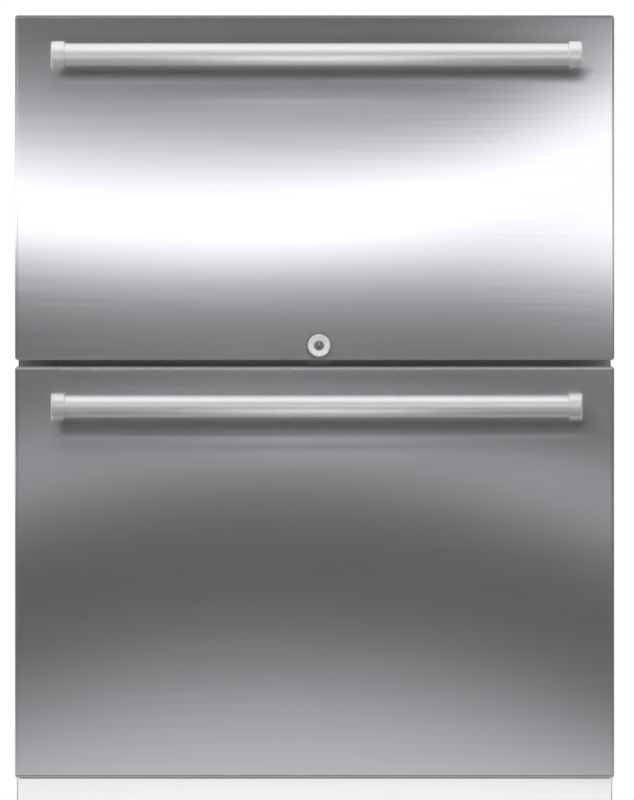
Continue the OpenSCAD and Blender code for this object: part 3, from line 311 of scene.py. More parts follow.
def glows(paint, tone, share=None):
    """Closes a card's finish. Where its share is below 1 the card is clear, and the room shows through."""
    surface = paint.add("ShaderNodeEmission", None, {"Color": (1, 1, 1, 1), "Strength": tone})
    if share:
        gap = paint.add("ShaderNodeBsdfTransparent", None, {"Color": (1, 1, 1, 1)})
        surface = paint.add("ShaderNodeMixShader", None, {0: share, 1: gap, 2: surface})
    paint.add("ShaderNodeOutputMaterial", None, {"Surface": surface})


def hill(distance, power=1):
    """A soft hill that is 1 where the distance is 0. A higher power gives it a flatter top."""
    return ((distance ** 2) ** power * -1).maths("EXPONENT")


def bands(paint, across, up):
    """How bright the room before the steel is at a height, for a place or a fixed distance across."""

    def band(height, above, below, lean=0.0, bend=0.0, edge=2.0):
        """A soft hill along a line that leans and bends. above and below are its half widths."""
        off = up - (height + across * lean + across * across * bend)
        width = off.maths("GREATER_THAN", 0.0) * (above - below) + below
        return ((off / width).maths("ABSOLUTE") ** edge * -1).maths("EXPONENT")

    glare = band(0.664, 0.038, 0.022, lean=0.166, bend=0.53, edge=1.67)
    spread = band(0.659, 0.086, 0.028, lean=-0.060)
    middle = band(0.439, 0.042, 0.032, lean=-0.055, bend=-0.51)
    foot = band(0.106, 0.090, 9.0, lean=-0.033, bend=-0.5)
    ceiling = 0.7 * paint.remap(up, 1.0, 1.3) + 0.8 * paint.remap(up, 1.6, 2.2)
    return 1.85 * glare + 1.95 * spread + 0.7 * middle + 0.78 * foot + ceiling


front, kick = face - CARD_AWAY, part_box("toe_kick")[0].y
paint = card("banded_card", (-CARD_HALF, front, CARD_FOOT), (CARD_HALF, front, CARD_TOP))
across, up = paint.along("X"), paint.along("Z")
# The right end is brighter, mostly beside the upper handle and a little on the lower front.
corner = hill((up - 0.755) / 0.125) * paint.remap(across, 0.18, 0.36)
low_corner = hill((up - 0.455) / 0.07) * paint.remap(across, 0.13, 0.28)
glows(paint, bands(paint, across, up) + 1.04 * corner + 0.085 * low_corner)

for name, side, share, rest in (("left_card", -1, 1.0, 0.0), ("right_card", 1, 0.42, 0.06)):
    x = side * SIDE_AWAY
    paint = card(name, (x, front, CARD_FOOT), (x, face + SIDE_PAST, SIDE_TOP))
    glows(paint, bands(paint, side * EDGE_X, paint.along("Z")) * share + rest)

paint = card("dark_floor_card", (-FLOOR_CARD_HALF, face - FLOOR_CARD_AWAY, FLOOR_CARD_UP),
             (FLOOR_CARD_HALF, kick, FLOOR_CARD_UP))
glows(paint, paint.remap(paint.along("Y"), face - 0.22, face - 0.04, 0.12, 0.55))

# %% Cards at the handles
# A dark one under each bar deepens its shadow on the steel, and fades out past the right bracket. A
# bright one lies flat before the bar's middle and below: that is the long soft glint there. The
# fronts see the bright one edge-on only.
SHADOW_PAST, SHADOW_FADE = 28 * MM, 22 * MM
GLINT_AHEAD, GLINT_DOWN, GLINT_HALF_X, GLINT_HALF_Y = 64 * MM, 40 * MM, 250 * MM, 50 * MM
for which, deep in (("upper", 14 * MM), ("lower", 17 * MM)):
    low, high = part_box(which + "_handle_bar")
    y, z = (low.y + high.y) / 2, low.z - 0.5 * MM
    end = high.x + SHADOW_PAST
    paint = card(which + "_shadow_card", (low.x, y, z - deep), (end, y, z))
    past = ((paint.along("X") - (end - SHADOW_FADE)) / SHADOW_FADE).maths("MAXIMUM", 0.0)
    down = paint.remap(paint.along("Z"), z, z - deep)
    glows(paint, paint.remap(down, 0.35, 1.0, 0.04, 0.28),
          share=paint.remap(past * (0.9 * down + 1), 0.0, 1.0, 1.0, 0.0))
    y, z = y - GLINT_AHEAD, (low.z + high.z) / 2 - GLINT_DOWN
    near, far = y - GLINT_HALF_Y, y + GLINT_HALF_Y
    paint = card(which + "_glint_card", (-GLINT_HALF_X, near, z), (GLINT_HALF_X, far, z))
    glows(paint, 1.35, share=hill(paint.along("X") / 0.118, 1.3) * hill((paint.along("Y") - y) / 0.030))

# %% Cards at the folds
# The folds along the top and the gap would mirror the white room as bright lines, so a narrow grey
# card lies just above the one and another in the other.
FOLD_CARD_HALF, FOLD_TONE = 310 * MM, 0.2
low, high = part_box("upper_front_panel")
gap_middle = (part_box("lower_front_panel")[1].z + low.z) / 2
for name, z, ahead, behind in (("top_fold_card", high.z + 4 * MM, 12 * MM, 12 * MM),
                               ("gap_card", gap_middle, 10 * MM, -0.5 * MM)):
    glows(card(name, (-FOLD_CARD_HALF, face - ahead, z), (FOLD_CARD_HALF, face + behind, z)), FOLD_TONE)
# The upper handle hides the ceiling from the lower bar, so that bar has a piece of it of its own,
# with a dark card on top, because the upper bar mustn't mirror it.
SKY_AHEAD, SKY_HALF, SKY_SOFT = 18 * MM, 30 * MM, 18 * MM
low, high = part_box("lower_handle_bar")
y = (low.y + high.y) / 2 - SKY_AHEAD
for name, z, tone in (("lower_sky_card", gap_middle, 1.45), ("sky_cover_card", gap_middle + 1 * MM, 0.1)):
    paint = card(name, (low.x, y - SKY_HALF, z), (high.x, y + SKY_HALF, z))
    glows(paint, tone, share=hill((paint.along("Y") - y) / SKY_SOFT))

# %% [markdown]
# ## The finishes

# %% Finish helpers
finishes = {}


def finish(slot, paint, colour, roughness, metallic, normal, **more):
    """Closes a material: what is the same all over goes straight onto the shader's sockets."""
    sockets = {"Base Color": colour, "Roughness": roughness, "Metallic": metallic, "Normal": normal}
    sockets.update({name.replace("_", " "): value for name, value in more.items()})
    shader = paint.add("ShaderNodeBsdfPrincipled", None, sockets)
    paint.add("ShaderNodeOutputMaterial", None, {"Surface": shader})
    print("finish", slot, len(paint.tree.nodes), "nodes")


def new_finish(slot):
    material, paint = stage_finish(slot)
    finishes[slot] = material
    return paint


# %% Brushed stainless steel
def brushed(slot, colour, roughness, metallic, scratch=0.05, ridge=0.2, grain=0.035):
    """Steel that a belt has brushed sideways: long fine lines in the colour, the gloss and the height."""
    paint = new_finish(slot)
    coarse = paint.noise((5, 175, 175), detail=3.0)
    fine = paint.noise((5, 700, 700), detail=2.0)
    lines = 0.6 * fine + 0.4 * coarse
    tint = paint.tint(paint.remap(lines, 0.3, 0.7), colour, 1 - scratch, 1 + scratch)
    rough = paint.remap(lines, 0.25, 0.75, roughness - grain, roughness + grain)
    finish(slot, paint, tint, rough, metallic, paint.bump(fine, ridge, 0.03 * MM))


brushed("brushed_front", (0.613, 0.621, 0.645), 0.185, 0.85, scratch=0.035, ridge=0.05, grain=0.008)
brushed("brushed_handle", (0.78, 0.785, 0.795), 0.44, 0.8, scratch=0.02)
brushed("satin_kick", (0.97, 0.97, 0.975), 0.10, 0.93, scratch=0.01, ridge=0.05)
brushed("stainless_trim", (0.6, 0.605, 0.615), 0.30, 0.92)

# %% Plated and bare metals
def metal(slot, colour, roughness, metallic, stretch, mottle=0.06, grain=0.05):
    """Metal with cloudy patches in the colour and the gloss, and a fine grain in the height."""
    paint = new_finish(slot)
    cloud = paint.noise(stretch, detail=4.0)
    tint = paint.tint(paint.remap(cloud, 0.3, 0.7), colour, 1 - mottle, 1 + mottle)
    rough = paint.remap(cloud, 0.25, 0.75, roughness - grain, roughness + grain)
    tooth = paint.noise((900, 900, 900), detail=2.0)
    finish(slot, paint, tint, rough, metallic, paint.bump(tooth, 0.3, 0.02 * MM))


metal("lock_chrome", (0.85, 0.86, 0.88), 0.36, 0.45, (300, 300, 300), mottle=0.03, grain=0.04)
metal("lock_metal", (0.30, 0.305, 0.315), 0.30, 0.97, (260, 260, 260))
metal("slide_zinc", (0.66, 0.68, 0.70), 0.32, 0.9, (14, 60, 60), mottle=0.05)
metal("screw_zinc", (0.70, 0.71, 0.73), 0.28, 0.9, (300, 300, 300))
metal("copper", (0.72, 0.42, 0.26), 0.30, 0.95, (60, 60, 60), mottle=0.14, grain=0.10)
metal("coil_aluminium", (0.76, 0.77, 0.78), 0.34, 0.9, (90, 90, 90))


def spangled(slot, colour):
    """Galvanised sheet: the zinc sets in crystals, each of its own grey and its own gloss."""
    paint = new_finish(slot)
    crystal = paint.cells((75, 75, 75), out="Color")
    grey = paint.add("ShaderNodeSeparateColor", None, {"Color": crystal}, out="Red")
    frost = 0.7 * grey + 0.3 * paint.noise((400, 400, 400), detail=3.0)
    tint = paint.tint(frost, colour, 0.86, 1.1)
    rough = paint.remap(frost, 0.0, 1.0, 0.30, 0.50)
    finish(slot, paint, tint, rough, 0.85, paint.bump(frost, 0.12, 0.04 * MM))


spangled("galvanised", (0.58, 0.60, 0.62))


# %% Painted and moulded surfaces
def stucco(slot, colour):
    """Steel rolled with a pattern of flat worms before painting, so that it hides dents."""
    paint = new_finish(slot)
    worms = paint.remap(paint.cells((210, 210, 210), "SMOOTH_F1"), 0.15, 0.55)
    dust = paint.noise((9, 9, 9), detail=5.0)
    tint = paint.tint(0.75 * worms + 0.25 * dust, colour, 1.3, 0.8)
    rough = paint.remap(dust, 0.3, 0.7, 0.34, 0.46)
    finish(slot, paint, tint, rough, 0.0, paint.bump(worms, 0.5, 0.18 * MM),
           Coat_Weight=0.15, Coat_Roughness=0.2)


stucco("painted_shell", (0.05, 0.052, 0.056))


def plastic(slot, colour, roughness, grain=350, depth=0.04, mottle=0.03, **more):
    """Moulded plastic: a spark-eroded grain, depth mm high, and a faint cloud in the colour."""
    paint = new_finish(slot)
    cloud = paint.noise((12, 12, 12), detail=4.0)
    leather = paint.noise((grain * 2, grain * 2, grain * 2), detail=2.0)
    tint = paint.tint(cloud, colour, 1 - mottle, 1 + mottle)
    rough = paint.remap(0.5 * cloud + 0.5 * leather, 0.3, 0.7, roughness - 0.05, roughness + 0.05)
    finish(slot, paint, tint, rough, 0.0, paint.bump(leather, 0.35, depth * MM), **more)


plastic("liner_plastic", (0.86, 0.87, 0.875), 0.36, grain=120, depth=0.015, mottle=0.012)
plastic("bin_plastic", (0.88, 0.895, 0.90), 0.32, grain=90, depth=0.01, mottle=0.01)
plastic("black_plastic", (0.045, 0.046, 0.05), 0.42, mottle=0.15)
plastic("button_plastic", (0.72, 0.73, 0.74), 0.38, grain=700)
plastic("pan_plastic", (0.74, 0.75, 0.75), 0.40)
plastic("foot_plastic", (0.03, 0.03, 0.032), 0.48, mottle=0.2)
plastic("gasket_grey", (0.34, 0.345, 0.35), 0.55, grain=500, mottle=0.06)
plastic("mount_rubber", (0.03, 0.03, 0.03), 0.66, grain=600, mottle=0.25)
plastic("display_glass", (0.015, 0.017, 0.02), 0.10, grain=20, depth=0.005,
        Coat_Weight=0.6, Coat_Roughness=0.05)
plastic("light_diffuser", (0.95, 0.95, 0.92), 0.42, grain=300, Emission_Color=(1, 0.98, 0.93, 1),
        Emission_Strength=0.35)
plastic("compressor_black", (0.02, 0.02, 0.022), 0.30, grain=160, depth=0.08, mottle=0.25,
        Coat_Weight=0.3)


def foamed(slot, colour):
    """Foam that has set against the sheets: small bubbles, and yellow patches."""
    paint = new_finish(slot)
    bubbles = paint.cells((420, 420, 420))
    cloud = paint.noise((16, 16, 16), detail=5.0)
    tint = paint.tint(cloud, colour, 0.86, 1.08)
    rough = paint.remap(bubbles, 0.0, 0.8, 0.75, 0.95)
    finish(slot, paint, tint, rough, 0.0, paint.bump(bubbles, 0.6, 0.4 * MM))


foamed("foam", (0.86, 0.80, 0.60))

# %% [markdown]
# ## Pieces modelled again
#
# Bent sheet has no knife edges: the light runs along every fold as a thin line, and that line is
# what makes a front look like steel. Each piece starts as a primitive of the node's own size, is
# shaped in edit mode, and is given to the body that its node rides on.

# %% Modelling helpers
HAIR = 0.02 * MM


def activate(*pieces):
    """Selects these pieces and nothing else, and makes the first one active."""
    clear()
    for piece in pieces:
        piece.select_set(True)
    bpy.context.view_layer.objects.active = pieces[0]


def keep(name):
    """Names the new active object, and puts its place and turn into its mesh."""
    piece = bpy.context.object
    piece.name = piece.data.name = name
    bpy.ops.object.transform_apply(location=True, rotation=True, scale=True)
    return piece


def block(name, low, high):
    """A box between two opposite corners."""
    clear()
    bpy.ops.mesh.primitive_cube_add(size=1, location=[(a + b) / 2 for a, b in zip(low, high)])
    bpy.context.object.scale = [b - a for a, b in zip(low, high)]
    return keep(name)


def rod(name, radius, axis, start, end, sides=64):
    """A round bar between two points that lie along that axis."""
    clear()
    start, end = Vector(start), Vector(end)
    bpy.ops.mesh.primitive_cylinder_add(vertices=sides, radius=radius, depth=(end - start).length,
                                        location=(start + end) / 2, rotation=TURNS[axis])
    return keep(name)


def pick(piece, kind, test):
    """Goes into edit mode and selects the faces or edges whose middle and direction pass the test."""
    if bpy.context.object != piece or piece.mode != "EDIT":
        activate(piece)
        bpy.ops.object.mode_set(mode="EDIT")
    bpy.ops.mesh.select_mode(type=kind)
    bpy.ops.mesh.select_all(action="DESELECT")
    mesh = bmesh.from_edit_mesh(piece.data)
    mesh.normal_update()
    for part in mesh.faces if kind == "FACE" else mesh.edges:
        if kind == "FACE":
            middle, way = part.calc_center_median(), part.normal
        else:
            start, end = (vertex.co for vertex in part.verts)
            middle, way = (start + end) / 2, (end - start).normalized()
        if test(middle, way):
            part.select_set(True)
    mesh.select_flush_mode()
    bmesh.update_edit_mesh(piece.data)


def soften(width, segments=3):
    """Rounds the selected edges."""
    bpy.ops.mesh.bevel(offset=width, segments=segments, affect="EDGES", clamp_overlap=True)


def push(way):
    """Pulls the selected faces out by a vector, with new walls behind them."""
    bpy.ops.mesh.extrude_region_move(TRANSFORM_OT_translate={"value": way})


def modify(piece, kind, **settings):
    """Adds a modifier and applies it at once."""
    activate(piece)
    modifier = piece.modifiers.new(kind.title(), kind)
    for name, value in settings.items():
        setattr(modifier, name, value)
    bpy.ops.object.modifier_apply(modifier=modifier.name)


def cut(piece, cutter):
    """Takes the cutter's shape out of the piece."""
    modify(piece, "BOOLEAN", operation="DIFFERENCE", object=cutter, solver="EXACT")
    bpy.data.objects.remove(cutter)


def join(name, parts):
    """Makes one piece of several."""
    activate(*parts)
    bpy.ops.object.join()
    return keep(name)


def copy_of(source, name):
    """A new piece with its own copy of the source's mesh."""
    clear()
    twin = bpy.data.objects.new(name, source.data.copy())
    scene.collection.objects.link(twin)
    return twin


def ready(piece, body, slot, *replaced, angle=35):
    """Smooth shading, the finish, the body it rides on, and the nodes that it stands for."""
    activate(piece)
    bpy.ops.object.shade_smooth_by_angle(angle=math.radians(angle))
    modify(piece, "WEIGHTED_NORMAL", keep_sharp=True, weight=90)
    piece.data.materials.clear()
    piece.data.materials.append(finishes[slot])
    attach(piece, body)
    if replaced:
        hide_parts(*replaced)
    print(piece.name, len(piece.data.polygons), "faces on", body)


# %% [markdown]
# ### The stainless skins
#
# A skin is a shallow pan: one sheet, folded back 19 mm on all four sides round the insulated door.
# It could be a thin box, but a pan made by taking the back face off a block and giving the rest a
# thickness has the real folds. The folds have a radius of 3 mm. The lock's hole is cut through.

# %% Skins of the two drawers
SHEET, FOLD = 1.2 * MM, 3.0 * MM
lock_low, lock_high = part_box("lock_plug")
lock = (lock_low + lock_high) / 2


def at_lock(y):
    """The point on the lock's axis at that y."""
    return Vector((lock.x, y, lock.z))


def skin(name, body, node, hole=None):
    low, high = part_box(node)
    pan = block(name, low, high)
    pick(pan, "FACE", lambda middle, way: way.y > 0.9)
    bpy.ops.mesh.delete(type="FACE")
    pick(pan, "EDGE", lambda middle, way: middle.y < low.y + HAIR or abs(way.y) > 0.9)
    soften(FOLD, 6)
    modify(pan, "SOLIDIFY", thickness=SHEET, offset=-1, use_even_offset=True)
    if hole:
        cut(pan, rod("cutter", hole, "Y", at_lock(low.y - 1 * MM), at_lock(low.y + 4 * MM)))
    ready(pan, body, "brushed_front", node)


skin("upper_skin", "upper_drawer", "upper_front_panel", hole=8.3 * MM)
skin("lower_skin", "lower_drawer", "lower_front_panel")

# %% [markdown]
# ### The handles
#
# Each handle is a 24 mm tube that plugs into an end bracket. The bracket is a short thick disc
# with rounded edges, and a flat stem runs from it to the front and flares a little at its foot.
# Between disc and tube stays a fine groove, which shows as a dark line. The tube is turned from a
# cylinder; the disc gets its groove by an inset on its inner face that is pushed in.

# %% Handle bars and brackets
CAP_W, CAP_EDGE, GROOVE_W, GROOVE_D = 14 * MM, 2.2 * MM, 0.9 * MM, 1.2 * MM
STEM_HALF, STEM_TALL, STEM_EDGE = 6.0 * MM, 11.0 * MM, 2.8 * MM


def bracket(name, low, high, bar_r, inward):
    """One end bracket between x = low.x and high.x. inward is +1 where the bar leaves to +X."""
    radius = (high.z - low.z) / 2
    axis_y, axis_z = low.y + radius, (low.z + high.z) / 2

    def off_axis(point):
        return math.hypot(point.y - axis_y, point.z - axis_z)

    disc = rod(name, radius, "X", (low.x, axis_y, axis_z), (high.x, axis_y, axis_z), 96)
    pick(disc, "EDGE", lambda middle, way: abs(way.x) < 0.5 and off_axis(middle) > radius * 0.98)
    soften(CAP_EDGE, 5)
    pick(disc, "FACE", lambda middle, way: way.x * inward > 0.99)
    bpy.ops.mesh.inset(thickness=radius - CAP_EDGE - bar_r - GROOVE_W)
    bpy.ops.mesh.inset(thickness=GROOVE_W)
    pick(disc, "FACE", lambda middle, way: way.x * inward > 0.99
         and bar_r < off_axis(middle) < bar_r + GROOVE_W)
    push((-inward * GROOVE_D, 0, 0))
    middle_x = (low.x + high.x) / 2
    stem = block(name + "_stem", (middle_x - STEM_HALF, axis_y, axis_z - STEM_TALL),
                 (middle_x + STEM_HALF, face - 2.5 * MM, axis_z + STEM_TALL))
    pick(stem, "EDGE", lambda middle, way: abs(way.y) > 0.9)
    soften(STEM_EDGE, 5)
    pick(stem, "FACE", lambda middle, way: way.y > 0.9)
    for step, grow in ((1.2 * MM, 1.06), (0.8 * MM, 1.12), (0.5 * MM, 1.05)):
        push((0, step, 0))
        bpy.ops.transform.resize(value=(grow, 1, 1 + (grow - 1) * STEM_HALF / STEM_TALL),
                                 center_override=(middle_x, 0, axis_z))
    return join(name, [disc, stem])


def handle(which):
    body = which + "_drawer"
    low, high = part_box(which + "_handle_bar")
    bar_r, axis = (high.z - low.z) / 2, (low + high) / 2
    bar = rod(which + "_bar", bar_r, "X", (low.x, axis.y, axis.z), (high.x, axis.y, axis.z), 96)
    pick(bar, "EDGE", lambda middle, way: abs(way.x) < 0.5)
    soften(0.8 * MM, 3)
    ready(bar, body, "brushed_handle", which + "_handle_bar")
    low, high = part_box(which + "_handle_posts")
    ends = [bracket(which + "_bracket_left", low, Vector((low.x + CAP_W, high.y, high.z)), bar_r, 1),
            bracket(which + "_bracket_right", Vector((high.x - CAP_W, low.y, low.z)), high, bar_r, -1)]
    ready(join(which + "_brackets", ends), body, "brushed_handle", which + "_handle_posts")


handle("upper")
handle("lower")

# %% [markdown]
# ### The lock
#
# The ring, the barrel behind it and the bore for the plug are one turned piece. It starts as a disc;
# each end face is shrunk by an inset and pushed in or out, as on a lathe. A thin dark washer round
# the hole is painted shade: it stands for the soft ring of shade round the bright one. A bright flap
# shuts the upper half of the keyway.

# %% Lock
def turn_end(piece, way, *steps):
    """Shapes the end of a rod. Each step goes inward by the first number and out by the second one."""
    pick(piece, "FACE", lambda middle, normal: normal.dot(Vector(way)) > 0.99)
    for inward, out in steps:
        if inward:
            bpy.ops.mesh.inset(thickness=inward, depth=out)
        else:
            push(Vector(way) * out)


FRONT, BACK = (0, -1, 0), (0, 1, 0)
RING_R, BARREL_R, BORE_R, PLUG_R = 11.3 * MM, 8 * MM, 5.05 * MM, 4.9 * MM
NUT_R, NUT_T, SHADE_WASHER_R, SHADE_WASHER_T = 11 * MM, 3 * MM, 13.7 * MM, 0.55 * MM
KEYWAY, KEYWAY_DEEP = Vector((0.9, 0, 3.5)) * MM, 12 * MM
low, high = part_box("lock_housing")
barrel_end, cam_y = high.y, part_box("lock_cam")[0].y
ring = rod("lock_ring", RING_R, "Y", at_lock(low.y), at_lock(face), 96)
pick(ring, "EDGE", lambda middle, way: middle.y < low.y + HAIR)
soften(0.9 * MM, 5)
turn_end(ring, FRONT, (0.5 * MM, 0), (3.0 * MM, -0.35 * MM), (0.5 * MM, -0.45 * MM), (0.5 * MM, 0))
turn_end(ring, BACK, (RING_R - BARREL_R, 0), (0, barrel_end - face - 0.5 * MM), (0.5 * MM, 0.5 * MM))
cut(ring, rod("cutter", BORE_R, "Y", at_lock(low.y - 1 * MM), at_lock(barrel_end + 1 * MM), 64))
nut = rod("lock_nut", NUT_R, "Y", at_lock(barrel_end - NUT_T), at_lock(barrel_end), 6)
pick(nut, "EDGE", lambda middle, way: True)
soften(0.5 * MM, 2)
cut(nut, rod("cutter", BARREL_R - 0.1 * MM, "Y", at_lock(low.y), at_lock(barrel_end + 1 * MM), 64))
ready(join("lock_ring", [ring, nut]), "upper_drawer", "lock_chrome", "lock_housing")
# The dark washer round the ring is painted shade: its grey stands for the ring of shade there.
shade_washer = rod("lock_shade_washer", SHADE_WASHER_R, "Y", at_lock(face - SHADE_WASHER_T), at_lock(face - 0.01 * MM), 96)
pick(shade_washer, "EDGE", lambda middle, way: middle.y < face - 0.5 * MM)
soften(0.35 * MM, 3)
cut(shade_washer, rod("cutter", RING_R - 0.5 * MM, "Y", at_lock(face - 2 * MM), at_lock(face + 2 * MM), 64))
ready(shade_washer, "upper_drawer", "lock_metal")

plug = rod("key_plug", PLUG_R, "Y", at_lock(lock_low.y), at_lock(cam_y), 64)
pick(plug, "EDGE", lambda middle, way: middle.y < lock_low.y + HAIR)
soften(0.5 * MM, 3)
turn_end(plug, BACK, (1.9 * MM, 0), (0, lock_high.y - cam_y))
cut(plug, block("cutter", at_lock(lock_low.y - 1 * MM) - KEYWAY, at_lock(lock_low.y + KEYWAY_DEEP) + KEYWAY))
ready(plug, "lock_core", "lock_metal", "lock_plug")
flap = block("key_flap", at_lock(lock_low.y + 0.7 * MM) - Vector((0.88, 0, 0.4)) * MM,
             at_lock(lock_low.y + 1.4 * MM) + Vector((0.88, 0, 3.45)) * MM)
pick(flap, "EDGE", lambda middle, way: middle.y < lock_low.y + MM)
soften(0.15 * MM, 2)
ready(flap, "lock_core", "stainless_trim")

# %% [markdown]
# ### Gaskets
#
# A door gasket is a soft bellows with a magnet in its front lip. The ring is a block with its
# middle taken out. A strip of each side wall is inset and pushed in along its normals, which keeps
# the corners mitred; the strip's own middle is pulled back out, and that gives the two folds.

# %% Gaskets
GASKET_W, GASKET_FOLDS = 14 * MM, ((2.2 * MM, -2.6 * MM), (1.8 * MM, 2.2 * MM))


def gasket(name, body):
    low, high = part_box(name)
    ring = block(name.replace("_gasket", "_bellows"), low, high)
    rim = Vector((GASKET_W, -MM, GASKET_W))
    cut(ring, block("cutter", low + rim, high - rim))
    for outer in (True, False):
        def wall(middle, way):
            to_rim = min(middle.x - low.x, high.x - middle.x, middle.z - low.z, high.z - middle.z)
            return abs(way.y) < 0.1 and (to_rim < HAIR) == outer
        pick(ring, "FACE", wall)
        for inset, out in GASKET_FOLDS:
            bpy.ops.mesh.inset(thickness=inset)
            bpy.ops.transform.shrink_fatten(value=out, use_even_offset=True)
    pick(ring, "EDGE", lambda middle, way: abs(middle.y - low.y) < HAIR or abs(middle.y - high.y) < HAIR)
    soften(0.5 * MM, 2)
    ready(ring, body, "gasket_grey", name, angle=25)


gasket("upper_gasket", "upper_drawer")
gasket("lower_gasket", "lower_drawer")

# %% [markdown]
# ### Bins
#
# Each drawer carries a moulded bin, narrow between the slides and wider above them. The lower one
# is deep in front and shallow over the machine space. The outside is pulled up from a block, floor
# first; then its corners are rounded, its top is opened and the wall gets its thickness.

# %% Bins
BIN_WALL, BIN_CORNER, BIN_FLOOR_EDGE, BIN_RIM = 2 * MM, 18 * MM, 4 * MM, 2 * MM
SHOULDER_X, WIDE_X = 239.5 * MM, 250 * MM


def bin_piece(name, body, shoulder, deep=None):
    """shoulder is where the tub widens. deep says how high its rear floor lies, and where that begins."""
    low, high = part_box(name)
    floor_z = deep[0] if deep else low.z
    tub = block(name + "_tub", (-SHOULDER_X, low.y, floor_z), (SHOULDER_X, high.y, shoulder))
    if deep:
        pick(tub, "FACE", lambda middle, way: True)
        bpy.ops.mesh.bisect(plane_co=(0, deep[1], 0), plane_no=(0, 1, 0))
        pick(tub, "FACE", lambda middle, way: way.z < -0.9 and middle.y < deep[1])
        push((0, 0, low.z - deep[0]))
    pick(tub, "EDGE", lambda middle, way: abs(way.z) > 0.9)
    soften(BIN_CORNER, 8)
    pick(tub, "EDGE", lambda middle, way: abs(way.z) < 0.1 and middle.z < shoulder - HAIR)
    soften(BIN_FLOOR_EDGE, 3)
    pick(tub, "FACE", lambda middle, way: way.z > 0.9)
    for half, rise in ((WIDE_X, high.z - BIN_RIM - shoulder), (high.x, BIN_RIM)):
        grow = half / max(v.co.x for v in bmesh.from_edit_mesh(tub.data).verts if v.select)
        bpy.ops.mesh.extrude_region_move()
        bpy.ops.transform.resize(value=(grow, 1, 1))
        push((0, 0, rise))
    if deep:
        pick(tub, "EDGE", lambda middle, way: abs(way.y) < 0.5 and abs(middle.y - deep[1]) < BIN_CORNER
             and middle.z > deep[0] + BIN_CORNER and abs(middle.x) > SHOULDER_X - HAIR)
        bpy.ops.mesh.dissolve_edges(use_verts=True)
    pick(tub, "FACE", lambda middle, way: way.z > 0.9 and middle.z > high.z - HAIR)
    bpy.ops.mesh.delete(type="FACE")
    modify(tub, "SOLIDIFY", thickness=BIN_WALL, offset=-1, use_even_offset=True)
    modify(tub, "BEVEL", width=0.5 * MM, segments=2, limit_method="ANGLE", angle_limit=math.radians(50))
    ready(tub, body, "bin_plastic", name)


bin_piece("upper_bin", "upper_drawer", shoulder=647.7 * MM)
bin_piece("lower_bin", "lower_drawer", shoulder=370.7 * MM, deep=(282 * MM, 80.15 * MM))

# %% Bin divider
HOOK_HALF, HOOK_T, HOOK_DEEP, PANE_HALF, PANE_IN = 8 * MM, 1.5 * MM, 12 * MM, 1.2 * MM, 4.1 * MM
low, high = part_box("bin_divider")
clip = block("divider_clip", (-HOOK_HALF, low.y, high.z - HOOK_DEEP), (HOOK_HALF, high.y, high.z))
cut(clip, block("cutter", (-2 * HOOK_HALF, low.y + HOOK_T, high.z - 2 * HOOK_DEEP),
                (2 * HOOK_HALF, high.y - HOOK_T, high.z - HOOK_T)))
modify(clip, "BEVEL", width=0.5 * MM, segments=2)
pane = block("divider_pane", (-PANE_HALF, low.y + PANE_IN, low.z),
             (PANE_HALF, high.y - PANE_IN, high.z - 0.6 * MM))
pick(pane, "EDGE", lambda middle, way: middle.z < high.z - MM)
soften(0.9 * MM, 3)
ready(join("divider_sheet", [clip, pane]), "divider", "bin_plastic", "bin_divider")

# %% [markdown]
# ### Softer edges for the rest
#
# The other pieces keep the shape of their node and only need their edges taken off, as a press, a
# mould or a file does. A copy of the node's mesh is merged where the faces meet, flat faces that
# were cut in triangles are joined again, and every sharp edge is bevelled a little.

# %% Softened copies
SOFT = {"outer_shell": 0.35, "face_frame": 1.2, "center_mullion": 0.6, "toe_kick": 0.5, "base_frame": 0.4,
        "rear_cover": 0.3, "counter_brackets": 0.5, "lock_strike": 0.4, "lock_cam": 0.3, "inner_liner": 0.8,
        "upper_door_body": 1.5, "lower_door_body": 1.5, "evaporator_cover": 1.5, "control_housing": 1.0,
        "light_bars": 2.0, "upper_slide_channels": 0.4, "lower_slide_channels": 0.4,
        "upper_slide_middles": 0.4, "lower_slide_middles": 0.4, "upper_drawer_frame": 0.4,
        "lower_drawer_frame": 0.4, "drain_pan": 0.6, "condenser_shroud": 0.8,
        "button_power": 0.6, "button_colder": 0.6, "button_warmer": 0.6, "condenser_fan": 0.3,
        "evaporator_fan": 0.3, "condenser_fan_motor": 0.8, "evaporator_fan_motor": 0.8}


def softened(name, width):
    """A copy of a node with its sharp edges bevelled by that width in millimetres."""
    source = nodes[name]
    piece = copy_of(source, "soft_" + name)
    activate(piece)
    bpy.ops.mesh.customdata_custom_splitnormals_clear()
    bpy.ops.object.mode_set(mode="EDIT")
    bpy.ops.mesh.select_all(action="SELECT")
    bpy.ops.mesh.remove_doubles(threshold=0.01 * MM)
    bpy.ops.mesh.dissolve_limited(angle_limit=math.radians(1))
    bpy.ops.object.mode_set(mode="OBJECT")
    modify(piece, "BEVEL", width=width * MM, segments=2, limit_method="ANGLE", angle_limit=math.radians(50),
           use_clamp_overlap=False)
    ready(piece, body_of(source)[0], source.data.materials[0].name, name)


for name, width in SOFT.items():
    softened(name, width)

# %% [markdown]
# ### Seams of the shell
#
# The shell is folded from several sheets. A fine groove is cut where they meet: round the back
# panel, and along the top's two sides.

